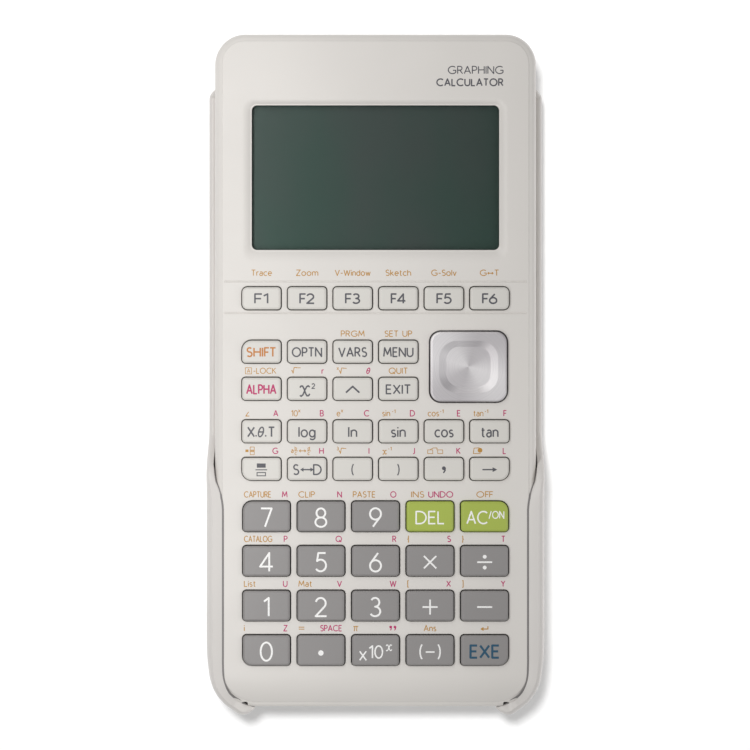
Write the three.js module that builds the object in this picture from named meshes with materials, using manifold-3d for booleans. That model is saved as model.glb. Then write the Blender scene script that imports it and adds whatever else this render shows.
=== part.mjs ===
// A graphing calculator with its slide case parked on its back.
// Millimetres. +Z comes out of the keyboard, +Y points to the display end, +X to the right.
// The origin lies under the middle of the body, on the flat underside of the slide case.
import * as THREE from "three";
import { mergeVertices } from "three/addons/utils/BufferGeometryUtils.js";
import Module from "manifold-3d";

const wasm = await Module();
wasm.setup();

// ---------------------------------------------------------------- driving dimensions

const GAP = 0.3; // clearance between pieces that do not touch
const FINE_GAP = 0.2; // clearance round the keys and the display window
const OVERSHOOT = 1; // how far a cutting solid runs past the face it cuts through
const WALL = 1.4; // wall of the front shell under the keyboard face
const SIDE_WALL = 1.7; // wall of both shells at the sides and ends

const BODY = { width: 84, length: 176, height: 18.6, topRadius: 8, bottomRadius: 11 };
const CASE = { floor: 1.8, headroom: 2.4, halfWidth: 44.3, wallTop: 12 };

// Levels, from the desk up.
const BACK_Z = CASE.floor + CASE.headroom;
const KEY_TOP_Z = BACK_Z + BODY.height;
const KEY_PROUD = 1.1;
const FACE_Z = KEY_TOP_Z - KEY_PROUD;
const CEILING_Z = FACE_Z - WALL;
const PARTING_Z = BACK_Z + 7.2;
const ABOVE_ALL_Z = FACE_Z + 9;
const ARM_TOP_Z = KEY_TOP_Z - 0.3;

// Keys: a cap that stands through its hole, on a wider flange that the shell holds down.
const KEY_TRAVEL = 0.9;
const FLANGE = { thickness: 0.6, margin: 0.5 };
const FLANGE_TOP_Z = CEILING_Z - GAP;
const FLANGE_BOTTOM_Z = FLANGE_TOP_Z - FLANGE.thickness;
const KEY_CHAMFER = 0.35;
const KEY_RADIUS = 0.85;
const FUNCTION_END_RADIUS = 1.35;
const SMALL_KEY_OUTER_RADIUS = 2.4;
const LARGE_KEY_OUTER_RADIUS = 2.3;

const SMALL_KEY = { width: 10, height: 5.75, pitch: 11.85, columns: 6 };
const LARGE_KEY = { width: 12.2, height: 7.75, pitch: 14.16, columns: 5 };
const KEY_ROWS = [
  { size: SMALL_KEY, y: 18.95, names: ["f1", "f2", "f3", "f4", "f5", "f6"] },
  { size: SMALL_KEY, y: 5.07, names: ["shift", "optn", "vars", "menu"] },
  { size: SMALL_KEY, y: -4.58, names: ["alpha", "square", "power", "exit"] },
  { size: SMALL_KEY, y: -15.63, names: ["variable", "log", "ln", "sin", "cos", "tan"] },
  {
    size: SMALL_KEY,
    y: -25.4,
    names: ["fraction", "convert", "open_paren", "close_paren", "comma", "store"],
  },
  { size: LARGE_KEY, y: -37.73, names: ["7", "8", "9", "del", "ac_on"] },
  { size: LARGE_KEY, y: -49.3, names: ["4", "5", "6", "multiply", "divide"] },
  { size: LARGE_KEY, y: -60.94, names: ["1", "2", "3", "plus", "minus"] },
  { size: LARGE_KEY, y: -72.5, names: ["0", "point", "exponent", "negative", "exe"] },
];
// Corners rounder than the rest, at the outer corners of each block of keys.
const ROUND_CORNERS = {
  f1: { topLeft: FUNCTION_END_RADIUS, bottomLeft: FUNCTION_END_RADIUS },
  f6: { topRight: FUNCTION_END_RADIUS, bottomRight: FUNCTION_END_RADIUS },
  shift: { topLeft: SMALL_KEY_OUTER_RADIUS },
  fraction: { bottomLeft: SMALL_KEY_OUTER_RADIUS },
  store: { bottomRight: SMALL_KEY_OUTER_RADIUS },
  7: { topLeft: LARGE_KEY_OUTER_RADIUS },
  ac_on: { topRight: LARGE_KEY_OUTER_RADIUS },
  0: { bottomLeft: LARGE_KEY_OUTER_RADIUS },
  exe: { bottomRight: LARGE_KEY_OUTER_RADIUS },
};

// Cursor pad: rocks about a low pivot, first about X with its carrier, then about Y on it.
const PAD = { x: 24.18, y: 1.17, halfWidth: 9.9, halfHeight: 9.05, radius: 2.7, proud: 1.2 };
const PAD_GAP = 0.4;
const PAD_FLANGE = { margin: 0.9, bottom: 18.75, top: 19.25 };
const PAD_PIVOT_Z = 19.4;
const PAD_HUB = { radius: 5.6, ceiling: 20.3 };
const PAD_DISH = { rimInset: 2.3, bevelInset: 3.6, depth: 0.45 };
const PAD_DOME_REACH = 7; // from the pivot to the dome under each side
const CARRIER = { radius: 4.6, halfThickness: 0.4 };

// Display window and the recess that slopes down to it.
const WINDOW = { y: 50.4, halfWidth: 32.25, halfHeight: 18.85, radius: 1.4 };
const RECESS = { y: 49.45, halfWidth: 34.3, halfHeight: 21.15, radius: 2.6, depth: 1 };
const WINDOW_LEDGE = { thickness: 0.5, overlap: 1.05 };
const WINDOW_THICKNESS = 1;
const WINDOW_TOP_Z = FACE_Z - RECESS.depth - WINDOW_LEDGE.thickness - FINE_GAP;
const LCD = { halfWidth: 34, halfHeight: 20.7, thickness: 1.3 };
const DISPLAY_FRAME = { margin: 3.3, radius: 3 };
const LCD_TOP_Z = WINDOW_TOP_Z - WINDOW_THICKNESS - GAP;

// Rubber key mat and circuit board.
const DOME = { radius: 2.2, topRadius: 1.5, height: 0.4, sides: 8 };
const DOME_TOP_Z = FLANGE_BOTTOM_Z - KEY_TRAVEL - GAP;
const MAT = { halfWidth: 35.2, top: 24.6, bottom: -78, thickness: 0.4, radius: 3 };
const MAT_TOP_Z = DOME_TOP_Z - DOME.height;
const BOARD = { halfWidth: 35.6, halfLength: 76.5, thickness: 0.9, radius: 2 };
const BOARD_TOP_Z = MAT_TOP_Z - MAT.thickness - GAP;
const BOARD_BOTTOM_Z = BOARD_TOP_Z - BOARD.thickness;
const CHIPS = [
  { x: -14, y: 30, halfSize: 7, height: 1.4 },
  { x: 12, y: 34, halfSize: 5, height: 1.2 },
  { x: 2, y: 12, halfSize: 2, height: 1.6 },
];
const USB = { x: -12, width: 7.7, height: 4 };
const JACK = { x: 10, radius: 2.3, z: 14.4 };
const SOCKET_FRONT_Y = BODY.length / 2 - 0.5;
const SOCKET_DEPTH = 13;
const SOCKET_HOLE_DEPTH = 6;

// Batteries: four size AAA cells, side by side along Y, in a bay closed by a cover in the back.
const CELL = { radius: 5.15, length: 44.5, nubRadius: 1.9, nubLength: 1, pitch: 10.7, count: 4 };
const CELL_Z = BOARD_BOTTOM_Z - GAP - CELL.radius;
const CONTACT_LEAF = { halfWidth: 3.6, thickness: 0.3 };
const BAY = { y: -46, halfWidth: 22, halfLength: 24.5, wall: 1.2 };
const COVER = { halfWidth: 24.6, halfLength: 27.5, thickness: 1.2, radius: 2 };
const COVER_TONGUE = { halfWidth: 6, length: 1.6 };
const SEAT = { margin: 2.2, thickness: 1.2 };
const BACK_SKIN = 1.5;

// Screw bosses, one pair at each end and one in the middle.
const BOSS = { radius: 2.2, pilotRadius: 0.8, pilotDepth: 6 };
const SCREW_TUBE = { radius: 3, clearRadius: 1.2, headRadius: 2, headDepth: 3.5 };
const BOSS_PLACES = [
  [35, 80.5],
  [38.2, 0],
  [35, -80.5],
];

// Layers of each shell: [height, inset from the body's outline], lowest first.
const BACK_CURVE = [
  [BACK_Z, 3.6],
  [BACK_Z + 0.5, 1.9],
  [BACK_Z + 1.6, 0.7],
  [BACK_Z + 3.4, 0.1],
  [BACK_Z + 4.8, 0],
];
const SHOULDER_CURVE = [
  [FACE_Z - 3.1, 0],
  [FACE_Z - 1.7, 0.35],
  [FACE_Z - 1, 1],
  [FACE_Z - 0.5, 1.85],
  [FACE_Z - 0.1, 1.95],
  [FACE_Z, 2.2],
];
const CEILING_CURVE = [
  [CEILING_Z - 2.1, SIDE_WALL],
  [CEILING_Z - 0.7, SIDE_WALL + 0.7],
  [CEILING_Z, SIDE_WALL + 1.7],
];
// The near end of the face rolls down along an arc in the YZ plane, to a narrow rim.
const ROLL = { startY: -78.5, radius: 14.5, endAngle: 0.64, steps: 6 };

// Slide case: its open far end, the curve of its sides, its arms and the hooks at the near corners.
const CASE_FAR = { y: 78.6, radius: 9, slide: 40 };
const CASE_NEAR_Y = -86;
const CASE_CURVE = [
  [0, 1.3],
  [0.7, 0.5],
  [2, 0.15],
  [6, 0],
  [CASE.wallTop, 0],
  [ARM_TOP_Z - 2, 0.3],
  [ARM_TOP_Z - 0.8, 0.65],
  [ARM_TOP_Z, 1.3],
];
const CASE_ROOM_CURVE = [
  [CASE.floor, 2.4],
  [CASE.floor + 1, 1],
];
const CASE_CLEARANCE = GAP + 0.05;
const WALL_SLOPE = { nearY: -24, farY: -10 };
const HOOK = {
  tip: [31.8, -88.4],
  crest: [34.7, -91.5],
  heel: [36.7, -89.4],
  lowerCorner: [42.9, -85.7],
  upperCorner: [43.6, -83.3],
  armStartY: -70.5,
};
const ARM = { edge: 39.5, nearY: -77.5, farY: -34.3, shoulderY: -24.4, bendY: -29.7 };
const HOOK_MOUTH = [
  [31.2, -87.4],
  [34.1, -87.3],
  [36.2, -84.8],
];
const HOOK_BEND = [39.3, -82.6];

// ---------------------------------------------------------------- solids

function solidFrom(geometry) {
  const plain = geometry.clone();
  plain.deleteAttribute("normal");
  plain.deleteAttribute("uv");
  const merged = mergeVertices(plain, 1e-4);
  const mesh = new wasm.Mesh({
    numProp: 3,
    vertProperties: new Float32Array(merged.attributes.position.array),
    triVerts: new Uint32Array(merged.index.array),
  });
  return new wasm.Manifold(mesh);
}

function geometryFrom(solid) {
  const mesh = solid.getMesh();
  const geometry = new THREE.BufferGeometry();
  geometry.setAttribute("position", new THREE.BufferAttribute(mesh.vertProperties, 3));
  geometry.setIndex(new THREE.BufferAttribute(mesh.triVerts, 1));
  geometry.computeVertexNormals();
  return geometry;
}

function joined(solids) {
  return solids.reduce((whole, piece) => whole.add(piece));
}

// A rounded rectangle, anticlockwise from its lower right corner.
function roundedOutline(halfWidth, halfHeight, radii, centre = [0, 0], steps = null) {
  const corners = [
    [1, -1, radii.bottomRight],
    [1, 1, radii.topRight],
    [-1, 1, radii.topLeft],
    [-1, -1, radii.bottomLeft],
  ];
  const points = [];
  corners.forEach(([sideX, sideY, radius], index) => {
    const count = steps ?? (radius > 1.2 ? 3 : 1);
    const start = (index - 1) * (Math.PI / 2);
    for (let step = 0; step <= count; step += 1) {
      const angle = start + (step / count) * (Math.PI / 2);
      const x = centre[0] + sideX * (halfWidth - radius) + radius * Math.cos(angle);
      const y = centre[1] + sideY * (halfHeight - radius) + radius * Math.sin(angle);
      points.push(new THREE.Vector2(x, y));
    }
  });
  return points;
}

function sameRadii(radius) {
  return { topLeft: radius, topRight: radius, bottomLeft: radius, bottomRight: radius };
}

// The outline moved inwards along its normals.
function insetOutline(points, distance) {
  return points.map((point, index) => {
    const before = points[(index + points.length - 1) % points.length];
    const after = points[(index + 1) % points.length];
    const edgeIn = point.clone().sub(before).normalize();
    const edgeOut = after.clone().sub(point).normalize();
    const normal = new THREE.Vector2(-edgeIn.y - edgeOut.y, edgeIn.x + edgeOut.x).normalize();
    const shrink = normal.x * -edgeIn.y + normal.y * edgeIn.x;
    return point.clone().addScaledVector(normal, distance / shrink);
  });
}

// A closed solid through outlines of equal point counts, each at its own height, lowest first.
function stack(rings) {
  const count = rings[0].points.length;
  const positions = rings.flatMap(({ points, z }) => points.flatMap(({ x, y }) => [x, y, z]));
  const index = [];
  for (let ring = 0; ring + 1 < rings.length; ring += 1) {
    for (let i = 0; i < count; i += 1) {
      const a = ring * count + i;
      const b = ring * count + ((i + 1) % count);
      index.push(a, b, b + count, a, b + count, a + count);
    }
  }
  const last = (rings.length - 1) * count;
  for (const [a, b, c] of THREE.ShapeUtils.triangulateShape(rings[0].points, [])) {
    index.push(a, c, b);
  }
  for (const [a, b, c] of THREE.ShapeUtils.triangulateShape(rings.at(-1).points, [])) {
    index.push(last + a, last + b, last + c);
  }
  const geometry = new THREE.BufferGeometry();
  geometry.setAttribute("position", new THREE.Float32BufferAttribute(positions, 3));
  geometry.setIndex(index);
  return solidFrom(geometry);
}

function stackFromLayers(outline, layers) {
  return stack(layers.map(([z, inset]) => ({ points: insetOutline(outline, inset), z })));
}

function prism(outline, bottom, top) {
  return stack([
    { points: outline, z: bottom },
    { points: outline, z: top },
  ]);
}

function block(low, high) {
  const size = new THREE.Vector3(high[0] - low[0], high[1] - low[1], high[2] - low[2]);
  const geometry = new THREE.BoxGeometry(size.x, size.y, size.z);
  geometry.translate(low[0] + size.x / 2, low[1] + size.y / 2, low[2] + size.z / 2);
  return solidFrom(geometry);
}

function post(x, y, bottom, top, radius, sides = 10) {
  const geometry = new THREE.CylinderGeometry(radius, radius, top - bottom, sides);
  geometry.rotateX(Math.PI / 2);
  geometry.translate(x, y, (top + bottom) / 2);
  return solidFrom(geometry);
}

// A bar along X whose section is given as [y, z] points.
function barAlongX(section, halfLength) {
  const shape = new THREE.Shape(section.map(([y, z]) => new THREE.Vector2(y, z)));
  const options = { depth: 2 * halfLength, bevelEnabled: false };
  const geometry = new THREE.ExtrudeGeometry(shape, options);
  const across = new THREE.Matrix4().makeBasis(
    new THREE.Vector3(0, 1, 0),
    new THREE.Vector3(0, 0, 1),
    new THREE.Vector3(1, 0, 0),
  );
  geometry.applyMatrix4(across);
  geometry.translate(-halfLength, 0, 0);
  return solidFrom(geometry);
}

function mirroredPair(makeOne) {
  return [makeOne(1), makeOne(-1)];
}

// ---------------------------------------------------------------- materials

function finish(color, roughness, metalness = 0) {
  return new THREE.MeshStandardMaterial({ color, roughness, metalness });
}

const shellFinish = finish(0xe2dfda, 0.5);
const caseFinish = finish(0xdedad6, 0.45);
const smallKeyFinish = finish(0xe4e1dc, 0.45);
const largeKeyFinish = finish(0x969294, 0.45);
const greenKeyFinish = finish(0xa5b94b, 0.45);
const padFinish = finish(0xbcbcc4, 0.28, 0.9);
const lcdFinish = finish(0x44524e, 0.3);
const rubberFinish = finish(0x8c8c8c, 0.8);
const boardFinish = finish(0x2f6b46, 0.55);
const cellFinish = finish(0x8f9499, 0.35, 0.8);

function windowFinish() {
  const material = finish(0xd8e0de, 0.08);
  material.transparent = true;
  material.opacity = 0.35;
  return material;
}

// ---------------------------------------------------------------- keys

function keyPlaces() {
  return KEY_ROWS.flatMap(({ size, y, names }) =>
    names.map((name, column) => {
      const x = (column - (size.columns - 1) / 2) * size.pitch;
      return { name, x, y, size };
    }),
  );
}

function keyOutline({ name, size }, margin, centre = [0, 0]) {
  const radii = { ...sameRadii(KEY_RADIUS), ...ROUND_CORNERS[name] };
  const outline = roundedOutline(size.width / 2, size.height / 2, radii, centre);
  return insetOutline(outline, -margin);
}

function keySolid(key) {
  const cap = keyOutline(key, 0);
  const flange = keyOutline(key, FLANGE.margin);
  return stack([
    { points: flange, z: FLANGE_BOTTOM_Z },
    { points: flange, z: FLANGE_TOP_Z },
    { points: cap, z: FLANGE_TOP_Z },
    { points: cap, z: KEY_TOP_Z - KEY_CHAMFER },
    { points: insetOutline(cap, KEY_CHAMFER), z: KEY_TOP_Z },
  ]);
}

function keyFinish({ name, size }) {
  if (name === "del" || name === "ac_on") {
    return greenKeyFinish;
  }
  return size === LARGE_KEY ? largeKeyFinish : smallKeyFinish;
}

// ---------------------------------------------------------------- cursor pad

function padOutline(inset, centre = [0, 0]) {
  const halfWidth = PAD.halfWidth - inset;
  const halfHeight = PAD.halfHeight - inset;
  return roundedOutline(halfWidth, halfHeight, sameRadii(PAD.radius), centre, 4);
}

// A rocker with a raised flat rim, a bevel down to a shallow dish, and a hub recess beneath.
function cursorPadSolid() {
  const top = FACE_Z + PAD.proud;
  const cap = stack([
    { points: padOutline(0), z: PAD_FLANGE.bottom },
    { points: padOutline(0), z: top - KEY_CHAMFER },
    { points: padOutline(KEY_CHAMFER), z: top },
  ]);
  const flange = prism(padOutline(-PAD_FLANGE.margin), PAD_FLANGE.bottom, PAD_FLANGE.top);
  const dish = stack([
    { points: padOutline(PAD_DISH.bevelInset), z: top - PAD_DISH.depth },
    { points: padOutline(PAD_DISH.rimInset), z: top },
    { points: padOutline(PAD_DISH.rimInset), z: top + OVERSHOOT },
  ]);
  const hubBottom = PAD_FLANGE.bottom - OVERSHOOT;
  const hub = post(0, 0, hubBottom, PAD_HUB.ceiling, PAD_HUB.radius, 16);
  return joined([cap, flange]).subtract(dish).subtract(hub);
}

function carrierSolid() {
  const bottom = PAD_PIVOT_Z - CARRIER.halfThickness;
  const top = PAD_PIVOT_Z + CARRIER.halfThickness;
  return post(0, 0, bottom, top, CARRIER.radius, 16);
}

// ---------------------------------------------------------------- shells

function bodyOutline() {
  const radii = {
    topLeft: BODY.topRadius,
    topRight: BODY.topRadius,
    bottomLeft: BODY.bottomRadius,
    bottomRight: BODY.bottomRadius,
  };
  return roundedOutline(BODY.width / 2, BODY.length / 2, radii, [0, 0], 7);
}

// Everything above the rolled near end of the face, moved towards the inside by a wall.
function aboveTheRoll(wall) {
  const centreZ = FACE_Z - ROLL.radius;
  const section = [[ROLL.startY, ABOVE_ALL_Z]];
  for (let step = 0; step <= ROLL.steps; step += 1) {
    const angle = (step / ROLL.steps) * ROLL.endAngle;
    const y = ROLL.startY - (ROLL.radius - wall) * Math.sin(angle);
    const z = centreZ + (ROLL.radius - wall) * Math.cos(angle);
    section.push([y, z]);
  }
  const endZ = section.at(-1)[1];
  section.push([-BODY.length, endZ], [-BODY.length, ABOVE_ALL_Z]);
  return barAlongX(section, BODY.width);
}

function displayCuts() {
  const centre = [0, WINDOW.y];
  const windowOutline = (grow) =>
    roundedOutline(
      WINDOW.halfWidth + grow,
      WINDOW.halfHeight + grow,
      sameRadii(WINDOW.radius + Math.max(grow, 0)),
      centre,
      4,
    );
  const recessOutline = roundedOutline(
    RECESS.halfWidth,
    RECESS.halfHeight,
    sameRadii(RECESS.radius),
    [0, RECESS.y],
    4,
  );
  const slope = stack([
    { points: windowOutline(FINE_GAP), z: FACE_Z - RECESS.depth },
    { points: recessOutline, z: FACE_Z },
    { points: recessOutline, z: FACE_Z + OVERSHOOT },
  ]);
  const opening = prism(windowOutline(0), PARTING_Z, FACE_Z + OVERSHOOT);
  const pocketTop = FACE_Z - RECESS.depth - WINDOW_LEDGE.thickness;
  const pocket = prism(windowOutline(WINDOW_LEDGE.overlap + GAP), PARTING_Z, pocketTop);
  return joined([slope, opening, pocket]);
}

function displayFrame() {
  const halfWidth = WINDOW.halfWidth + DISPLAY_FRAME.margin;
  const halfHeight = WINDOW.halfHeight + DISPLAY_FRAME.margin;
  const radii = sameRadii(DISPLAY_FRAME.radius);
  const outline = roundedOutline(halfWidth, halfHeight, radii, [0, WINDOW.y]);
  return prism(outline, LCD_TOP_Z + FINE_GAP, CEILING_Z + GAP);
}

function keyHoles() {
  const bottom = CEILING_Z - OVERSHOOT;
  const top = FACE_Z + OVERSHOOT;
  const holes = keyPlaces().map((key) =>
    prism(keyOutline(key, FINE_GAP, [key.x, key.y]), bottom, top),
  );
  holes.push(prism(padOutline(-PAD_GAP, [PAD.x, PAD.y]), bottom, top));
  return joined(holes);
}

function socketHoles() {
  const inside = BODY.length / 2 - SOCKET_HOLE_DEPTH;
  const outside = BODY.length / 2 + OVERSHOOT;
  const usbHalf = USB.width / 2 + GAP;
  const usbHole = block(
    [USB.x - usbHalf, inside, BOARD_BOTTOM_Z - USB.height - GAP],
    [USB.x + usbHalf, outside, BOARD_BOTTOM_Z + GAP],
  );
  const jackHole = roundBarAlongY(JACK.x, JACK.z, inside, outside, JACK.radius + GAP);
  return joined([usbHole, jackHole]);
}

function roundBarAlongY(x, z, start, end, radius) {
  const geometry = new THREE.CylinderGeometry(radius, radius, end - start, 12);
  geometry.translate(x, (start + end) / 2, z);
  return solidFrom(geometry);
}

function frontHousingSolid() {
  const outline = bodyOutline();
  const outside = stackFromLayers(outline, [[PARTING_Z, 0], ...SHOULDER_CURVE]);
  const hollow = stackFromLayers(outline, [
    [PARTING_Z - OVERSHOOT, SIDE_WALL],
    ...CEILING_CURVE,
  ]).subtract(aboveTheRoll(WALL));
  const bosses = BOSS_PLACES.flatMap(([x, y]) =>
    mirroredPair((side) => post(side * x, y, PARTING_Z, CEILING_Z + GAP, BOSS.radius)),
  );
  const pilotTop = PARTING_Z + BOSS.pilotDepth;
  const pilots = BOSS_PLACES.flatMap(([x, y]) =>
    mirroredPair((side) =>
      post(side * x, y, PARTING_Z - OVERSHOOT, pilotTop, BOSS.pilotRadius, 8),
    ),
  );
  return outside
    .subtract(aboveTheRoll(0))
    .subtract(hollow)
    .add(displayFrame())
    .add(joined(bosses))
    .subtract(joined(pilots))
    .subtract(displayCuts())
    .subtract(keyHoles())
    .subtract(socketHoles());
}

function coverOutline(margin) {
  const halfWidth = COVER.halfWidth + margin;
  const halfLength = COVER.halfLength + margin;
  return roundedOutline(halfWidth, halfLength, sameRadii(COVER.radius + margin), [0, BAY.y]);
}

function coverTongue(margin, bottom, top) {
  const end = BAY.y + COVER.halfLength;
  return block(
    [-COVER_TONGUE.halfWidth - margin, end - 1, bottom],
    [COVER_TONGUE.halfWidth + margin, end + COVER_TONGUE.length + margin, top],
  );
}

function batteryCoverSolid() {
  const top = BACK_Z + COVER.thickness;
  return prism(coverOutline(0), BACK_Z, top).add(coverTongue(0, BACK_Z, top));
}

// The rear shell with its battery bay, the seat of the battery cover and the screw tubes.
function rearHousingSolid() {
  const outline = bodyOutline();
  const top = PARTING_Z - GAP;
  const skinTop = BACK_Z + BACK_SKIN;
  const outside = stackFromLayers(outline, [...BACK_CURVE, [top, 0]]);
  const hollow = stackFromLayers(outline, [
    [skinTop, SIDE_WALL + 2.2],
    [skinTop + 1.4, SIDE_WALL + 0.4],
    [skinTop + 3, SIDE_WALL],
    [top + OVERSHOOT, SIDE_WALL],
  ]);
  const bayOutline = (grow) =>
    roundedOutline(BAY.halfWidth + grow, BAY.halfLength + grow, sameRadii(1), [0, BAY.y]);
  const seat = prism(coverOutline(SEAT.margin), skinTop - GAP, skinTop + SEAT.thickness);
  const bayWall = prism(bayOutline(BAY.wall), skinTop, BOARD_BOTTOM_Z - GAP);
  const tubes = BOSS_PLACES.flatMap(([x, y]) =>
    mirroredPair((side) => post(side * x, y, skinTop - GAP, top, SCREW_TUBE.radius)),
  );
  const below = BACK_Z - OVERSHOOT;
  const headTop = BACK_Z + SCREW_TUBE.headDepth;
  const screwHoles = BOSS_PLACES.flatMap(([x, y]) =>
    mirroredPair((side) =>
      post(side * x, y, below, top + OVERSHOOT, SCREW_TUBE.clearRadius, 8).add(
        post(side * x, y, below, headTop, SCREW_TUBE.headRadius, 10),
      ),
    ),
  );
  return outside
    .subtract(hollow)
    .add(joined([seat, bayWall, ...tubes]).intersect(prism(outline, BACK_Z, FACE_Z)))
    .subtract(prism(bayOutline(0), below, FACE_Z))
    .subtract(prism(coverOutline(GAP), below, skinTop))
    .subtract(coverTongue(GAP, below, skinTop))
    .subtract(joined(screwHoles));
}

// ---------------------------------------------------------------- slide case

// Both halves of a symmetrical plan, from its right half.
function mirroredPlan(half) {
  const right = half.getPoints(5);
  const left = right.map(({ x, y }) => new THREE.Vector2(-x, y)).reverse();
  return [...right, ...left].filter(
    (point, index, all) => point.distanceTo(all[(index + 1) % all.length]) > 0.01,
  );
}

// The plan of the case from the inside of a hook tip, round the hook and along the side.
function caseOutline() {
  const cornerX = CASE.halfWidth - CASE_FAR.radius;
  const cornerY = CASE_FAR.y - CASE_FAR.radius;
  const half = new THREE.Shape();
  half.moveTo(HOOK.tip[0], CASE_NEAR_Y);
  half.lineTo(...HOOK.tip);
  half.quadraticCurveTo(...HOOK.crest, ...HOOK.heel);
  half.bezierCurveTo(...HOOK.lowerCorner, ...HOOK.upperCorner, CASE.halfWidth, HOOK.armStartY);
  half.lineTo(CASE.halfWidth, cornerY);
  half.absarc(cornerX, cornerY, CASE_FAR.radius, 0, Math.PI / 2);
  return mirroredPlan(half);
}

// The plan of what the arms leave open over the keyboard face.
function armOpening() {
  const bodySide = BODY.width / 2 + GAP;
  const outside = CASE.halfWidth + OVERSHOOT;
  const half = new THREE.Shape();
  half.moveTo(HOOK_MOUTH[0][0], -BODY.length);
  HOOK_MOUTH.forEach((point) => half.lineTo(...point));
  half.quadraticCurveTo(...HOOK_BEND, ARM.edge, ARM.nearY);
  half.lineTo(ARM.edge, ARM.farY);
  half.bezierCurveTo(ARM.edge, ARM.bendY, bodySide, ARM.bendY, bodySide, ARM.shoulderY);
  half.lineTo(outside, ARM.shoulderY);
  half.lineTo(outside, BODY.length);
  return mirroredPlan(half);
}

function slideCaseSolid() {
  const outside = stackFromLayers(caseOutline(), CASE_CURVE);
  const room = stackFromLayers(bodyOutline(), [
    ...CASE_ROOM_CURVE,
    [BACK_Z + 1.2, -CASE_CLEARANCE],
    ...SHOULDER_CURVE.map(([z, inset]) => [z + CASE_CLEARANCE, inset - CASE_CLEARANCE]),
  ]);
  // The body leaves through the far end, so the room runs on beyond it.
  const farRoom = room.translate([0, CASE_FAR.slide, 0]);
  const slopedWalls = barAlongX(
    [
      [WALL_SLOPE.nearY, ARM_TOP_Z],
      [WALL_SLOPE.farY, CASE.wallTop],
      [BODY.length, CASE.wallTop],
      [BODY.length, ABOVE_ALL_Z],
      [WALL_SLOPE.nearY, ABOVE_ALL_Z],
    ],
    BODY.width,
  );
  return outside
    .subtract(room)
    .subtract(farRoom)
    .subtract(slopedWalls)
    .subtract(prism(armOpening(), CASE.wallTop, ABOVE_ALL_Z));
}

// ---------------------------------------------------------------- inner parts

function windowPlateSolid() {
  const halfWidth = WINDOW.halfWidth + WINDOW_LEDGE.overlap;
  const halfHeight = WINDOW.halfHeight + WINDOW_LEDGE.overlap;
  const radii = sameRadii(WINDOW.radius + WINDOW_LEDGE.overlap);
  const outline = roundedOutline(halfWidth, halfHeight, radii, [0, WINDOW.y]);
  return prism(outline, WINDOW_TOP_Z - WINDOW_THICKNESS, WINDOW_TOP_Z);
}

function lcdSolid() {
  return block(
    [-LCD.halfWidth, WINDOW.y - LCD.halfHeight, LCD_TOP_Z - LCD.thickness],
    [LCD.halfWidth, WINDOW.y + LCD.halfHeight, LCD_TOP_Z],
  );
}

function dome(x, y) {
  const height = DOME_TOP_Z - MAT_TOP_Z + DOME.height / 2;
  const geometry = new THREE.CylinderGeometry(DOME.topRadius, DOME.radius, height, DOME.sides);
  geometry.rotateX(Math.PI / 2);
  geometry.translate(x, y, DOME_TOP_Z - height / 2);
  return solidFrom(geometry);
}

function keyMatSolid() {
  const middle = (MAT.top + MAT.bottom) / 2;
  const halfLength = (MAT.top - MAT.bottom) / 2;
  const outline = roundedOutline(MAT.halfWidth, halfLength, sameRadii(MAT.radius), [0, middle]);
  const sheet = prism(outline, MAT_TOP_Z - MAT.thickness, MAT_TOP_Z);
  const keyDomes = keyPlaces().map(({ x, y }) => dome(x, y));
  const padDomes = [
    dome(PAD.x - PAD_DOME_REACH, PAD.y),
    dome(PAD.x + PAD_DOME_REACH, PAD.y),
    dome(PAD.x, PAD.y - PAD_DOME_REACH),
    dome(PAD.x, PAD.y + PAD_DOME_REACH),
  ];
  const pivotTop = PAD_PIVOT_Z - CARRIER.halfThickness - GAP;
  const pivot = post(PAD.x, PAD.y, MAT_TOP_Z - MAT.thickness / 2, pivotTop, DOME.topRadius, 8);
  return joined([sheet, ...keyDomes, ...padDomes, pivot]);
}

function chip({ x, y, halfSize, height }) {
  return block(
    [x - halfSize, y - halfSize, BOARD_BOTTOM_Z - height],
    [x + halfSize, y + halfSize, BOARD_BOTTOM_Z + BOARD.thickness / 2],
  );
}

function batteryContacts() {
  const leaves = [];
  for (const side of [-1, 1]) {
    const inner = BAY.y + side * (CELL.length / 2 + GAP);
    const outer = inner + side * CONTACT_LEAF.thickness;
    const [nearY, farY] = [Math.min(inner, outer), Math.max(inner, outer)];
    cellPlaces().forEach((x) => {
      const low = [x - CONTACT_LEAF.halfWidth, nearY, CELL_Z - CELL.radius / 2];
      const high = [x + CONTACT_LEAF.halfWidth, farY, BOARD_TOP_Z - GAP];
      leaves.push(block(low, high));
    });
  }
  return joined(leaves);
}

function circuitBoardSolid() {
  const outline = roundedOutline(BOARD.halfWidth, BOARD.halfLength, sameRadii(BOARD.radius));
  const sheet = prism(outline, BOARD_BOTTOM_Z, BOARD_TOP_Z);
  const socketBack = SOCKET_FRONT_Y - SOCKET_DEPTH;
  const usb = block(
    [USB.x - USB.width / 2, socketBack, BOARD_BOTTOM_Z - USB.height],
    [USB.x + USB.width / 2, SOCKET_FRONT_Y, BOARD_BOTTOM_Z],
  );
  const jack = roundBarAlongY(JACK.x, JACK.z, socketBack, SOCKET_FRONT_Y, JACK.radius);
  return joined([sheet, ...CHIPS.map(chip), usb, jack, batteryContacts()]);
}

function cellPlaces() {
  const places = [];
  for (let i = 0; i < CELL.count; i += 1) {
    places.push((i - (CELL.count - 1) / 2) * CELL.pitch);
  }
  return places;
}

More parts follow.
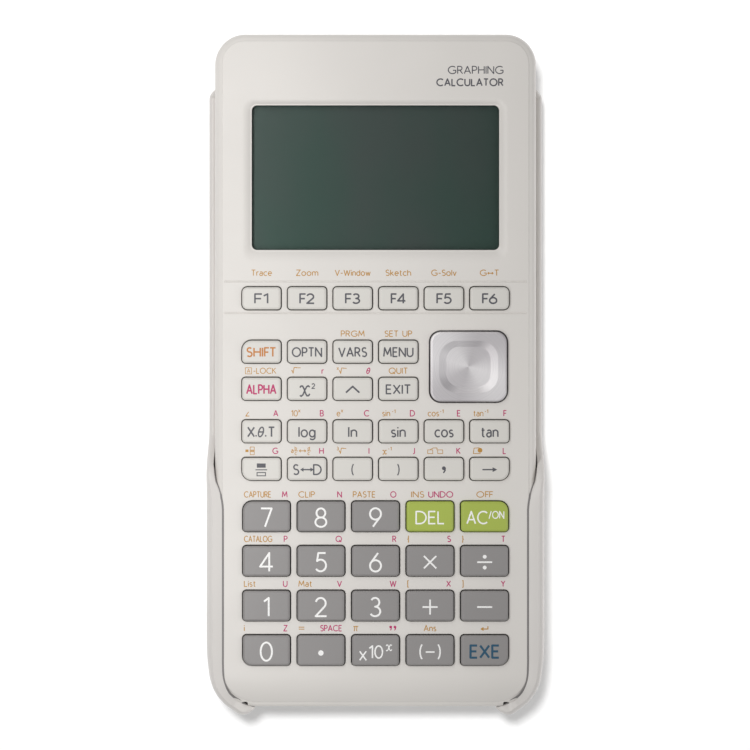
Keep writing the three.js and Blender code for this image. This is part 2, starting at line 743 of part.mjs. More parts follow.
// One cell about its own middle, with its positive nub towards +Y.
function cellSolid() {
  const half = CELL.length / 2;
  const bevel = 0.5;
  const profile = [
    [0, -half],
    [CELL.radius - bevel, -half],
    [CELL.radius, -half + bevel],
    [CELL.radius, half - CELL.nubLength - bevel],
    [CELL.radius - bevel, half - CELL.nubLength],
    [CELL.nubRadius, half - CELL.nubLength],
    [CELL.nubRadius, half],
    [0, half],
  ];
  const points = profile.map(([radius, height]) => new THREE.Vector2(radius, height));
  return solidFrom(new THREE.LatheGeometry(points, 14));
}

// ---------------------------------------------------------------- assembly

function named(name, solid, material) {
  const mesh = new THREE.Mesh(geometryFrom(solid), material.clone());
  mesh.name = name;
  return mesh;
}

function keyboard() {
  const group = new THREE.Group();
  for (const key of keyPlaces()) {
    const mesh = named(`key_${key.name}`, keySolid(key), keyFinish(key));
    mesh.position.set(key.x, key.y, 0);
    group.add(mesh);
  }
  return group;
}

function cursorControl() {
  const group = new THREE.Group();
  group.add(named("cursor_pad", cursorPadSolid(), padFinish));
  group.add(named("cursor_pad_carrier", carrierSolid(), largeKeyFinish));
  group.position.set(PAD.x, PAD.y, 0);
  return group;
}

function batteries() {
  const group = new THREE.Group();
  cellPlaces().forEach((x, index) => {
    const mesh = named(`battery_${index + 1}`, cellSolid(), cellFinish);
    mesh.position.set(x, BAY.y, CELL_Z);
    mesh.rotation.z = index % 2 === 0 ? 0 : Math.PI;
    group.add(mesh);
  });
  return group;
}

const calculator = new THREE.Group();
calculator.add(named("slide_case", slideCaseSolid(), caseFinish));
calculator.add(named("rear_housing", rearHousingSolid(), shellFinish));
calculator.add(named("battery_cover", batteryCoverSolid(), shellFinish));
calculator.add(batteries());
calculator.add(named("circuit_board", circuitBoardSolid(), boardFinish));
calculator.add(named("key_mat", keyMatSolid(), rubberFinish));
calculator.add(named("lcd_panel", lcdSolid(), lcdFinish));
calculator.add(named("display_window", windowPlateSolid(), windowFinish()));
calculator.add(named("front_housing", frontHousingSolid(), shellFinish));
calculator.add(cursorControl());
calculator.add(keyboard());

export default calculator;
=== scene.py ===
"""Looks of a graphing calculator with its slide case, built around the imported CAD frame.

Everything is worked out in millimetres in the row frame and scaled to metres when a mesh is made.
"""

import math

import bmesh
import bpy
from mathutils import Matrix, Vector
from mathutils.geometry import delaunay_2d_cdt


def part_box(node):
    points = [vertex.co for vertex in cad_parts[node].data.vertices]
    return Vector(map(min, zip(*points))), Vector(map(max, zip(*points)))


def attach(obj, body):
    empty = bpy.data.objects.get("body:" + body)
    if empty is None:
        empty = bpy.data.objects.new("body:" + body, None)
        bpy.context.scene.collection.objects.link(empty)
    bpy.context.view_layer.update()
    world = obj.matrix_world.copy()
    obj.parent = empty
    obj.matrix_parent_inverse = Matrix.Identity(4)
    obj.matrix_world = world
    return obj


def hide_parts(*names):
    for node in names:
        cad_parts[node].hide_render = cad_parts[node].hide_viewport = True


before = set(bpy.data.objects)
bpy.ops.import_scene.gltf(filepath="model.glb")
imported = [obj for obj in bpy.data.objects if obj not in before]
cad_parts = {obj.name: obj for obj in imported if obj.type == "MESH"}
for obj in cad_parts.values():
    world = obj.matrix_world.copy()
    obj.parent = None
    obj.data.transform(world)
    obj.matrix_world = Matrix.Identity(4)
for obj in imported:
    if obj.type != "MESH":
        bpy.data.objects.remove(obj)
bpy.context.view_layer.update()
MM = 0.001
WELD = 0.002 * MM


def box_mm(node):
    low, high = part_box(node)
    return low / MM, high / MM


FRONT_LOW, FRONT_HIGH = box_mm("front_housing")
REAR_LOW, REAR_HIGH = box_mm("rear_housing")
_, CASE_HIGH = box_mm("slide_case")
FACE = FRONT_HIGH.z
HALF_W, HALF_L = FRONT_HIGH.x, FRONT_HIGH.y
KEYS = sorted(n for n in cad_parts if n.startswith("key_") and n != "key_mat")
GREEN_KEYS = ("key_del", "key_ac_on")
LARGE_KEY_WIDTH = 12.5
KEY_FLANGE = 0.5
# The box over the keyboard in which the slits round the keys are given painted shade.
KEYBOARD_HALF_WIDTH, KEYBOARD_NEAR, KEYBOARD_FAR = 36.3, -78.0, 24.5


# ---------------------------------------------------------------- small helpers


def lerp(a, b, t):
    return a + (b - a) * t


def smooth(t):
    t = min(1.0, max(0.0, t))
    return t * t * (3 - 2 * t)


def along(table, x):
    """A smooth curve through (x, value) pairs with rising x."""
    if x <= table[0][0]:
        return table[0][1]
    for (x0, y0), (x1, y1) in zip(table, table[1:]):
        if x <= x1:
            return lerp(y0, y1, smooth((x - x0) / (x1 - x0)) * 0.5 + (x - x0) / (x1 - x0) * 0.5)
    return table[-1][1]


def rounded(left, right, bottom, top, radii, steps=8):
    """Anticlockwise loop of a rounded rectangle.

    Radii: one for all, or bottom right, top right, top left and bottom left.
    """
    radii = radii if isinstance(radii, tuple) else (radii,) * 4
    centres = (
        (right - radii[0], bottom + radii[0]),
        (right - radii[1], top - radii[1]),
        (left + radii[2], top - radii[2]),
        (left + radii[3], bottom + radii[3]),
    )
    points = []
    for corner, ((cx, cy), radius) in enumerate(zip(centres, radii)):
        for step in range(steps + 1):
            angle = math.radians(90 * (corner - 1) + 90 * step / steps)
            points.append((cx + radius * math.cos(angle), cy + radius * math.sin(angle)))
    return points


def block(x, y, half_x, half_y, radius, steps=8):
    """A rounded rectangle about a middle point."""
    return rounded(x - half_x, x + half_x, y - half_y, y + half_y, radius, steps)


def disc(middle, radius, sides):
    turns = [math.tau * k / sides for k in range(sides)]
    return [middle + radius * Vector((math.cos(a), math.sin(a))) for a in turns]


def circle(x, y, radius, sides=24):
    return [tuple(v) for v in disc(Vector((x, y)), radius, sides)]


def blend_plan(a, b, t):
    return [(lerp(p[0], q[0], t), lerp(p[1], q[1], t)) for p, q in zip(a, b)]


def lift(points, z):
    """Plan points as points in space at the height z, a number or a function of x and y."""
    return [(x, y, z(x, y) if callable(z) else z) for x, y in points]


def stack(plan_of, *levels):
    """Rings of a plan at pairs of margin and height."""
    return [lift(plan_of(margin), z) for margin, z in levels]


def at_y(plan, y):
    """A loop of x and z stood up across the y axis."""
    return [(x, y, z) for x, z in plan]


class Shape:
    """A mesh under construction, in millimetres."""

    def __init__(self):
        self.bm = bmesh.new()

    def ring(self, points):
        return [self.bm.verts.new(Vector(p) * MM) for p in points]

    def face(self, verts):
        return self.bm.faces.new(verts)

    def tube(self, rings):
        """Bands of quads between rings of equal count."""
        made = [self.ring(points) for points in rings]
        for a, b in zip(made, made[1:]):
            for i in range(len(a)):
                self.face((a[i - 1], a[i], b[i], b[i - 1]))
        return made

    def solid(self, rings):
        """A closed body through rings of equal count, with both ends filled."""
        made = self.tube(rings)
        self.face(made[0])
        self.face(made[-1])

    def sheet(self, loops, z, points=(), lines=()):
        """A face inside the first loop and outside the others, with further points and lines in it."""
        coords, faces, edges = [], [], []
        for loop in loops:
            faces.append(list(range(len(coords), len(coords) + len(loop))))
            coords.extend(loop)
        coords.extend(points)
        for line in lines:
            start = len(coords)
            coords.extend(line)
            edges.extend((i, i + 1) for i in range(start, len(coords) - 1))
        out = delaunay_2d_cdt([Vector(c) for c in coords], edges, faces, 2, 1e-6)
        verts = self.ring(lift([tuple(v) for v in out[0]], z))
        for tri in out[2]:
            self.face([verts[i] for i in tri])

    def make(self, name, material, sharp=35.0, weld=True):
        if weld:
            bmesh.ops.remove_doubles(self.bm, verts=self.bm.verts, dist=WELD)
            bmesh.ops.dissolve_degenerate(self.bm, edges=self.bm.edges, dist=WELD / 4)
        bmesh.ops.recalc_face_normals(self.bm, faces=self.bm.faces)
        mesh = bpy.data.meshes.new(name)
        self.bm.to_mesh(mesh)
        self.bm.free()
        mesh.materials.append(material)
        mesh.shade_smooth()
        mesh.set_sharp_from_angle(angle=math.radians(sharp))
        made = bpy.data.objects.new(name, mesh)
        bpy.context.scene.collection.objects.link(made)
        return made

    def put(self, name, material, body, slot, *nodes, **options):
        """Makes the piece and sets it on its body, in place of the CAD nodes it stands for."""
        place(self.make(name, material, **options), body, slot, *nodes)


def place(piece, body, slot, *nodes):
    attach(piece, body)
    if nodes:
        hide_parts(*nodes)


# ---------------------------------------------------------------- materials


class Nodes:
    """A material's node tree. Inputs take a number, a colour or another node's socket."""

    def __init__(self, name):
        self.material = bpy.data.materials.new(name)
        self.material.use_nodes = True
        self.tree = self.material.node_tree
        self.bsdf = self.tree.nodes["Principled BSDF"]
        self.place = self.add("ShaderNodeTexCoord").outputs["Object"]

    def feed(self, socket, value):
        if isinstance(value, bpy.types.NodeSocket):
            self.tree.links.new(value, socket)
        else:
            socket.default_value = value

    def add(self, kind, inputs=(), **properties):
        node = self.tree.nodes.new(kind)
        for key, value in properties.items():
            setattr(node, key, value)
        for key, value in dict(inputs).items():
            self.feed(node.inputs[key], value)
        return node

    def calc(self, operation, *values, vector=False, output=0):
        kind = "ShaderNodeVectorMath" if vector else "ShaderNodeMath"
        return self.add(kind, enumerate(values), operation=operation).outputs[output]

    def noise(self, size_mm, detail=3.0, roughness=0.5, stretch=None):
        """Noise whose features are about size_mm across."""
        place = self.place
        if stretch:
            place = self.add("ShaderNodeMapping", {"Vector": place, "Scale": stretch}).outputs["Vector"]
        values = {"Vector": place, "Scale": 1 / (size_mm * MM), "Detail": detail, "Roughness": roughness}
        return self.add("ShaderNodeTexNoise", values).outputs["Fac"]

    def remap(self, value, low, high, from_low=0.3, from_high=0.7):
        ends = {"From Min": from_low, "From Max": from_high, "To Min": low, "To Max": high}
        return self.add("ShaderNodeMapRange", {"Value": value, **ends}).outputs["Result"]

    def mix(self, factor, a, b, blend="MIX"):
        """Inputs 6 and 7 and output 2 of the node are its colours."""
        a, b = ((*c, 1) if isinstance(c, tuple) else c for c in (a, b))
        inputs = {"Factor": factor, 6: a, 7: b}
        return self.add("ShaderNodeMix", inputs, data_type="RGBA", blend_type=blend).outputs[2]

    def bump(self, height, depth_mm, strength):
        values = {"Strength": strength, "Distance": depth_mm * MM, "Height": height}
        return self.add("ShaderNodeBump", values).outputs["Normal"]

    def finish(self, **inputs):
        """Sets the surface shader's inputs, with _ for a space, and gives the material."""
        for key, value in inputs.items():
            self.feed(self.bsdf.inputs[key.replace("_", " ")], value)
        return self.material


def linear(red, green, blue):
    """An sRGB colour of 0 to 255 as linear light."""
    channels = (red / 255, green / 255, blue / 255)
    return tuple(c / 12.92 if c <= 0.04045 else ((c + 0.055) / 1.055) ** 2.4 for c in channels)


def tinted(color, by):
    return tuple(min(1.0, c * by) for c in color)


def plastic(name, color, rough=0.42, grain_mm=0.22, grain_depth=0.006, spread=0.03, painted_gap_shade=False):
    """Moulded plastic: fine spark-eroded grain, faint flow marks and slow changes of tone.

    When asked, the surfaces deep in the slits round the keys get painted shade, a much darker copy of the
    colour in place of the shade that falls there.
    """
    n = Nodes(name)
    fine = n.noise(grain_mm, 2.0, 0.6)
    flow = n.noise(6, 3.0, 0.55, (0.35, 1.0, 1.0))
    tone = n.mix(n.remap(n.noise(28, 2.0), 0, 1), tinted(color, 1 - spread), tinted(color, 1 + spread))
    speck = n.mix(n.remap(fine, 0, 1), tinted(color, 0.985), tinted(color, 1.012))
    surface = n.mix(0.35, tone, speck)
    if painted_gap_shade:
        # Painted shade: the slits round the keys are darkened to about a third of the colour.
        surface = n.mix(gap_shade_mask(n), surface, tinted(color, 0.36))
    roughness = n.remap(flow, rough - 0.05, rough + 0.05)
    grain = n.bump(fine, grain_depth, 0.6)
    return n.finish(Base_Color=surface, Roughness=roughness, Normal=grain, IOR=1.47)


def gap_shade_mask(n):
    """Mask of the painted shade in the slits: 1 below the face inside the keyboard's area, 0 elsewhere."""
    split = n.add("ShaderNodeSeparateXYZ", {0: n.place}).outputs
    inside = n.remap(split["Z"], 1, 0, (FACE - 0.75) * MM, (FACE - 0.2) * MM)
    sides = {"X": (-KEYBOARD_HALF_WIDTH, KEYBOARD_HALF_WIDTH), "Y": (KEYBOARD_NEAR, KEYBOARD_FAR)}
    for axis, limits in sides.items():
        for kind, limit in zip(("GREATER_THAN", "LESS_THAN"), limits):
            inside = n.calc("MULTIPLY", inside, n.calc(kind, split[axis], limit * MM))
    return inside


def ink(name, color):
    """Pad-printed ink: a thin even film with slightly uneven cover."""
    n = Nodes(name)
    cover = n.noise(0.35, 2.0)
    tone = n.mix(n.remap(cover, 0, 1), tinted(color, 0.93), tinted(color, 1.06))
    roughness = n.remap(n.noise(1.2), 0.38, 0.5)
    return n.finish(Base_Color=tone, Roughness=roughness, Normal=n.bump(cover, 0.002, 0.5))


def spun_metal():
    """Silver foil turned on a lathe: rings of fine tool marks, with a painted reflection that follows the
    turn and painted light and shade on the slopes turned toward and away from the lamp.
    """
    n = Nodes("spun_silver")
    low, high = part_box("cursor_pad")
    middle = (low + high) / 2
    centred = n.calc("SUBTRACT", n.place, (middle.x, middle.y, 0), vector=True)
    flat = n.calc("MULTIPLY", centred, (1, 1, 0), vector=True)
    radius = n.calc("LENGTH", flat, vector=True, output="Value")
    marks = {"W": radius, "Scale": 1 / (0.16 * MM), "Detail": 2}
    rings = n.add("ShaderNodeTexNoise", marks, noise_dimensions="1D").outputs["Fac"]
    tone = n.mix(n.remap(rings, 0, 1), linear(212, 209, 210), linear(226, 223, 223))
    split = n.add("ShaderNodeSeparateXYZ", {0: centred}).outputs
    # Painted reflection: the tone is lifted in two wedges, toward 145 degrees and opposite, like the lamp's
    # streak on spun metal.
    highlight_toward = 145
    turn = n.calc("ARCTAN2", split["Y"], split["X"])
    highlight_wave = n.calc("SINE", n.calc("MULTIPLY_ADD", turn, 2, math.radians(90 - 2 * highlight_toward)))
    painted_sheen = n.mix(n.remap(highlight_wave, 0, 1, -0.8, 0.8), (0.76, 0.75, 0.76), (1.0, 1.0, 1.0))
    # Painted light and shade: faces turned toward the lamp's side are lighter, those turned away darker.
    normal = n.add("ShaderNodeNewGeometry").outputs["True Normal"]
    facing_lamp = n.calc("DOT_PRODUCT", normal, (-0.92, 0.25, 0), vector=True, output="Value")
    slope = n.mix(n.remap(facing_lamp, 0, 1, -0.2, 0.24), (0.87, 0.87, 0.88), (1.24, 1.24, 1.24))
    return n.finish(
        Base_Color=n.mix(1.0, n.mix(1.0, tone, painted_sheen, "MULTIPLY"), slope, "MULTIPLY"),
        Roughness=n.remap(n.noise(3), 0.48, 0.55),
        Normal=n.bump(rings, 0.004, 0.25),
        Tangent=n.add("ShaderNodeTangent", direction_type="RADIAL", axis="Z").outputs[0],
        Metallic=0.3,
        Anisotropic=0.5,
        Anisotropic_Rotation=0.25,
    )


def display_glass():
    """Dark reflective LCD: the tone drifts from teal to grey, with a trace of its cells."""
    n = Nodes("lcd_glass")
    drift = n.noise(26, 2.0, 0.5, (1.0, 0.5, 1.0))
    tone = n.mix(n.remap(drift, 0, 1), linear(78, 107, 98), linear(94, 104, 102))
    surface = n.mix(n.remap(n.noise(0.34, 1.0), 0, 0.12), tone, linear(52, 71, 64))
    roughness = n.remap(n.noise(30, 1.0), 0.3, 0.34)
    return n.finish(Base_Color=surface, Roughness=roughness, Specular_IOR_Level=0.3)


def clear_window():
    """Hard-coated clear acrylic: mostly see-through, with a mirror skin seen at low angles."""
    n = Nodes("clear_acrylic")
    clear = n.add("ShaderNodeBsdfTransparent", {"Color": (0.95, 0.965, 0.955, 1)}).outputs[0]
    skin = n.add("ShaderNodeFresnel", {"IOR": 1.45}).outputs[0]
    share = n.remap(skin, 0.02, 0.75, 0.0, 1.0)
    blend = n.add("ShaderNodeMixShader", {0: share, 1: clear, 2: n.bsdf.outputs[0]}).outputs[0]
    n.feed(n.tree.nodes["Material Output"].inputs["Surface"], blend)
    tone = n.mix(n.noise(14), (0.02, 0.022, 0.022), (0.03, 0.034, 0.032))
    return n.finish(Base_Color=tone, Roughness=n.remap(n.noise(40, 1.0), 0.03, 0.05), IOR=1.49)


def metal(name, color, rough=0.32):
    n = Nodes(name)
    brushed = n.noise(0.3, 3.0, 0.6, (1.0, 0.08, 1.0))
    tone = n.mix(n.remap(brushed, 0, 1), tinted(color, 0.9), tinted(color, 1.05))
    roughness = n.remap(brushed, rough - 0.08, rough + 0.08)
    return n.finish(Base_Color=tone, Roughness=roughness, Normal=n.bump(brushed, 0.003, 0.4), Metallic=1.0)


SHELL = plastic("shell_plastic", linear(221, 217, 212), 0.46)
CASE_SHELL = plastic("case_plastic", linear(216, 212, 208), 0.38, 0.3, 0.004)
# The front shell's plastic is the rear shell's with painted shade in the slits round the keys.
FRONT_SHELL = plastic("front_shell_plastic_painted_shade", linear(221, 217, 212), 0.46, painted_gap_shade=True)
# The keys' plastics carry the same painted shade low on their sides, in the slits.
KEY_PLASTICS = {
    slot: plastic(slot + "_plastic", linear(*color), rough, 0.16, 0.004, painted_gap_shade=True)
    for slot, color, rough in (
        ("white_key", (216, 213, 207), 0.4),
        ("grey_key", (145, 142, 141), 0.42),
        ("green_key", (168, 184, 82), 0.4),
    )
}
# Grey plastic for the strips under the case's lips: painted shade for the gap between lip and body.
LIP_SHADE_STRIP = plastic("lip_shade_strip_plastic", linear(128, 125, 124), 0.55)
DARK_PLASTIC = plastic("dark_plastic", linear(58, 58, 60), 0.5)
RUBBER = plastic("silicone_rubber", linear(150, 150, 150), 0.75, 0.4, 0.01)
BOARD = plastic("solder_mask", linear(46, 104, 68), 0.35, 0.6, 0.004, 0.08)
METAL = metal("plain_steel", linear(190, 192, 196))
SLEEVE = metal("cell_sleeve", linear(150, 154, 160), 0.4)
SILVER = spun_metal()
LCD_GLASS = display_glass()
ACRYLIC = clear_window()
INKS = {
    "dark": ink("ink_dark_grey", linear(86, 86, 92)),
    "white": ink("ink_white", linear(246, 245, 243)),
    "ochre": ink("ink_ochre", linear(188, 138, 58)),
    "orange": ink("ink_orange", linear(194, 124, 52)),
    "magenta": ink("ink_magenta", linear(186, 42, 104)),
    "teal": ink("ink_teal", linear(34, 80, 106)),
}


# ---------------------------------------------------------------- lettering

# Each glyph, its width, then strokes split by |, on a cap height of 1. A stroke joins x,y points and
# arcs written @centre x, centre y, radius x, radius y, start degrees, end degrees.
GLYPH_ROWS = """
A 0.74 0,0 .37,1 .74,0|.14,.33 .6,.33
B 0.56 0,0 0,1 .28,1 @.28,.76,.24,.24,90,-90 0,.52|.28,.52 @.28,.26,.28,.26,90,-90 0,0
C 0.84 @.5,.5,.5,.5,48,312
D 0.76 0,0 0,1 .26,1 @.26,.5,.5,.5,90,-90 0,0
E 0.5 .5,1 0,1 0,0 .5,0|0,.52 .45,.52
F 0.34 .46,1 0,1 0,0|0,.5 .4,.5
G 0.9 @.5,.5,.5,.5,48,322 .89,.46 .56,.46
H 0.68 0,0 0,1|.68,0 .68,1|0,.52 .68,.52
I 0 0,0 0,1
J 0.34 .34,1 .34,.26 @.14,.26,.2,.26,0,-110
K 0.6 0,0 0,1|.56,1 0,.46|.16,.6 .62,0
L 0.46 0,1 0,0 .46,0
M 0.86 0,0 .1,1 .43,.25 .76,1 .86,0
N 0.7 0,0 0,1 .7,0 .7,1
O 0.96 @.48,.5,.48,.5,90,450
P 0.52 0,0 0,1 .26,1 @.26,.73,.27,.27,90,-90 0,.46
Q 1 @.5,.5,.5,.5,90,450|.56,.3 .95,-.06
R 0.58 0,0 0,1 .26,1 @.26,.74,.26,.26,90,-90 0,.48|.26,.48 .58,0
S 0.52 @.27,.76,.23,.24,35,270 @.27,.26,.26,.26,90,-145
T 0.6 0,1 .6,1|.3,1 .3,0
U 0.66 0,1 0,.33 @.33,.33,.33,.33,180,360 .66,1
V 0.72 0,1 .36,0 .72,1
W 1.05 0,1 .27,0 .525,.9 .78,0 1.05,1
X 0.68 0,0 .68,1|0,1 .68,0
Y 0.66 0,1 .33,.5 .66,1|.33,.5 .33,0
Z 0.6 0,1 .6,1 0,0 .6,0
a 0.44 @.24,.48,.2,.21,150,0 .44,0|.44,.41 .22,.41 @.2,.2,.2,.21,90,270 @.22,.24,.22,.25,270,345
b 0.54 0,0 0,1|@.27,.34,.27,.35,90,450
c 0.48 @.3,.35,.3,.35,50,310
d 0.54 .54,0 .54,1|@.27,.34,.27,.35,90,450
e 0.54 .02,.37 .54,.37 @.28,.35,.27,.35,5,315
g 0.54 .54,.69 .54,-.05 @.28,-.05,.26,.24,0,-150|@.27,.34,.27,.35,90,450
h 0.5 0,0 0,1|0,.42 @.25,.43,.25,.26,180,0 .5,0
i 0 0,0 0,.69|0,.87 0,1
k 0.46 0,0 0,1|.42,.68 0,.3|.14,.42 .48,0
l 0 0,0 0,1
m 0.84 0,0 0,.69|0,.45 @.21,.46,.21,.23,180,0 .42,0|.42,.46 @.63,.46,.21,.23,180,0 .84,0
n 0.48 0,0 0,.69|0,.43 @.24,.44,.24,.25,180,0 .48,0
o 0.6 @.3,.35,.3,.35,90,450
r 0.26 0,0 0,.69|0,.4 @.24,.42,.24,.27,180,75
s 0.38 @.19,.52,.17,.17,35,270 @.19,.175,.19,.175,90,-145
t 0.32 .12,.92 .12,.16 @.28,.16,.16,.16,180,280|0,.69 .3,.69
v 0.48 0,.69 .24,0 .48,.69
w 0.74 0,.69 .19,0 .37,.6 .55,0 .74,.69
0 0.62 @.31,.5,.31,.5,90,450
1 0.26 0,.8 .26,1 .26,0
2 0.58 @.28,.71,.27,.29,165,-38 0,0 .6,0
3 0.54 @.25,.76,.23,.24,150,-90 @.25,.26,.28,.26,90,-150
4 0.68 .5,0 .5,1 0,.26 .7,.26
5 0.56 .54,1 .14,1 .07,.56 @.26,.32,.3,.32,128,-145
6 0.6 .44,1 .05,.47|@.3,.3,.3,.31,90,450
7 0.58 0,1 .58,1 .22,0
8 0.6 @.3,.75,.24,.25,90,450|@.3,.25,.3,.26,90,450
9 0.6 .16,0 .55,.53|@.3,.7,.3,.31,90,450
- 0.34 0,.42 .34,.42
( 0.2 @.5,.42,.46,.66,138,222
) 0.2 @-.3,.42,.46,.66,42,-42
[ 0.16 .18,1.05 0,1.05 0,-.12 .18,-.12
] 0.16 0,1.05 .18,1.05 .18,-.12 0,-.12
{ 0.24 .24,1.05 .13,.98 .13,.56 0,.46 .13,.36 .13,-.06 .24,-.13
} 0.24 0,1.05 .11,.98 .11,.56 .24,.46 .11,.36 .11,-.06 0,-.13
= 1 0,.68 1,.68|0,.32 1,.32
/ 0.36 0,-.05 .36,1.05
√ 0.9 0,.42 .12,.52 .3,0 .48,1 .95,1
θ 0.5 @.25,.5,.25,.5,90,450|0,.5 .5,.5
π 0.84 .02,.78 .9,.82|.3,.8 .2,.04 .1,0|.66,.8 .58,.1 .7,0
∠ 0.6 .5,.75 0,0 .62,0
↔ 0.8 0,.42 .8,.42|.18,.6 0,.42 .18,.24|.62,.6 .8,.42 .62,.24
↵ 0.9 .9,.85 .9,.35 .08,.35|.34,.6 .04,.35 .34,.1
x 0.5 0,0 .5,.69|0,.69 .5,0
χ 0.68 .02,.56 .1,.67 .2,.66 .28,.5 .4,.16 .48,.03 .58,.04 .66,.16\
|.66,.6 .56,.68 .46,.62 .34,.4 .22,.1 .1,0 .02,.07
"""
GLYPHS = {" ": (0.3, "")}
for row in GLYPH_ROWS.split("\n")[1:-1]:
    glyph, wide, drawn = row.split(" ", 2)
    GLYPHS[glyph] = (float(wide), drawn)
SHARP_TURN = math.radians(38)
JOIN_SIDES = 10


def stroke_points(spec, size_x, size_y):
    """The points of one stroke, with arcs cut into short lines."""
    points = []
    for token in spec.split():
        if token[0] != "@":
            x, y = (float(v) for v in token.split(","))
            points.append(Vector((x * size_x, y * size_y)))
            continue
        cx, cy, rx, ry, start, end = (float(v) for v in token[1:].split(","))
        count = max(4, int(abs(end - start) / 15))
        for i in range(count + 1):
            angle = math.radians(lerp(start, end, i / count))
            x, y = cx + rx * math.cos(angle), cy + ry * math.sin(angle)
            points.append(Vector((x * size_x, y * size_y)))
    kept = points[:1]
    kept += [b for a, b in zip(points, points[1:]) if (b - a).length > 1e-4]
    return kept


def ribbons(points, width):
    """Quads that cover a stroke of the given width, with a round disc at each sharp turn."""
    closed = (points[0] - points[-1]).length < 1e-3
    if closed:
        points = points[:-1]
    count = len(points)
    faces = []
    half = width / 2

    def direction(i):
        return (points[(i + 1) % count] - points[i % count]).normalized()

    def side(i, ahead):
        """Offset points at the start of segment i, or at its end."""
        here = points[(i + ahead) % count]
        own = direction(i)
        offset = square = Vector((-own.y, own.x))
        reach = half
        other_i = i + 1 if ahead else i - 1
        if closed or 0 <= other_i <= count - 2:
            other = direction(other_i % count)
            if own.angle(other) <= SHARP_TURN:
                offset = (square + Vector((-other.y, other.x))).normalized()
                reach = half / max(0.6, offset.dot(square))
        return here + offset * reach, here - offset * reach

    segments = count if closed else count - 1
    for i in range(segments):
        a, b = side(i, False)
        c, d = side(i, True)
        faces.append([a, c, d, b])
        last = not closed and i == segments - 1
        if not last and direction(i).angle(direction((i + 1) % count)) > SHARP_TURN:
            middle = points[(i + 1) % count]
            faces.append(disc(middle, half, JOIN_SIDES))
    return faces


def signed_area(loop):
    return sum(a[0] * b[1] - b[0] * a[1] for a, b in zip(loop, loop[1:] + loop[:1])) / 2


def simple_parts(faces):
    """The faces with each quad cut in two, as a quad on a tight curve can cross itself."""
    for face in faces:
        parts = [face[:3], [face[0], face[2], face[3]]] if len(face) == 4 else [face]
        yield from (part for part in parts if abs(signed_area(part)) > 1e-6)


def holds(loop, x, y):
    """Whether an anticlockwise convex loop has the point in it."""
    sides = zip(loop, loop[1:] + loop[:1])
    return all((b[0] - a[0]) * (y - a[1]) - (b[1] - a[1]) * (x - a[0]) > -1e-7 for a, b in sides)


def strokes(spec, weight):
    """Faces of free strokes, written like a glyph's but in millimetres."""
    return [face for stroke in spec.split("|") for face in ribbons(stroke_points(stroke, 1, 1), weight)]


def patch(spec):
    """One flat face through the points."""
    return [stroke_points(spec, 1, 1)]


def spot(x, y, radius, sides=20):
    return [disc(Vector((x, y)), radius, sides)]


def lettering(text, size, weight, x, y, anchor=0.5, width=None, slant=0.0):
    """Faces of a line of text with its caps centred on y. Anchor 0 starts at x, 1 ends there."""
    spacing = 0.15 * size + 0.5 * weight
    natural = sum(GLYPHS[c][0] for c in text) * size + spacing * (len(text) - 1)
    stretch = (width - weight) / natural if width else 1.0
    pen = x - natural * stretch * anchor + weight * (0.5 - anchor) * (1 if anchor != 0.5 else 0)
    faces = []
    for char in text:
        advance, spec = GLYPHS[char]
        for stroke in filter(None, spec.split("|")):
            points = stroke_points(stroke, size * stretch, size)
            moved = [Vector((p.x + pen + slant * p.y, p.y + y - size / 2)) for p in points]
            faces.extend(ribbons(moved, weight))
        pen += (advance * size + spacing) * stretch
    return faces


INK_THICKNESS = 0.014


def print_on(name, faces, z, body, color, slot):
    """Turns flat faces into one thin closed film of ink on a surface at height z."""
    parts = [part if signed_area(part) > 0 else part[::-1] for part in simple_parts(faces)]
    coords, polygons, cells = [], [], {}
    for part in parts:
        polygons.append(list(range(len(coords), len(coords) + len(part))))
        coords.extend(part)
        xs, ys = [p[0] for p in part], [p[1] for p in part]
        for column in range(math.floor(min(xs)), math.floor(max(xs)) + 1):
            for row in range(math.floor(min(ys)), math.floor(max(ys)) + 1):
                cells.setdefault((column, row), []).append(part)
    out = delaunay_2d_cdt(coords, [], polygons, 1, 1e-5)
    shape = Shape()
    flat = [tuple(v) for v in out[0]]
    covered = []
    for tri in out[2]:
        x, y = (sum(flat[i][axis] for i in tri) / len(tri) for axis in (0, 1))
        if any(holds(part, x, y) for part in cells.get((math.floor(x), math.floor(y)), ())):
            covered.append(tri)
    used = sorted({i for tri in covered for i in tri})
    plan = [flat[i] for i in used]
    top = dict(zip(used, shape.ring(lift(plan, z + INK_THICKNESS))))
    low = dict(zip(used, shape.ring(lift(plan, z - INK_THICKNESS))))
    edges = {}
    for tri in covered:
        shape.face([top[i] for i in tri])
        shape.face([low[i] for i in reversed(tri)])
        for a, b in zip(tri, tri[1:] + tri[:1]):
            key = (min(a, b), max(a, b))
            edges[key] = edges.get(key, 0) + 1
    for (a, b), count in edges.items():
        if count == 1:
            shape.face((top[a], top[b], low[b], low[a]))
    shape.put(name, INKS[color], body, slot, sharp=30, weld=False)


# ---------------------------------------------------------------- front shell

CREASE = 2.1  # from the side of the body to the crease round the face
CREASE_NEAR = 1.35  # the same at the near end
NEAR_DEPTH = 0.42  # the shoulder's depth at the near end, as a share of its depth elsewhere
TOP_RADIUS, BOTTOM_RADIUS = 8.0, 11.0
ROLL_START, ROLL_RADIUS = -78.5, 14.5
OUTLINE_STEPS = 22
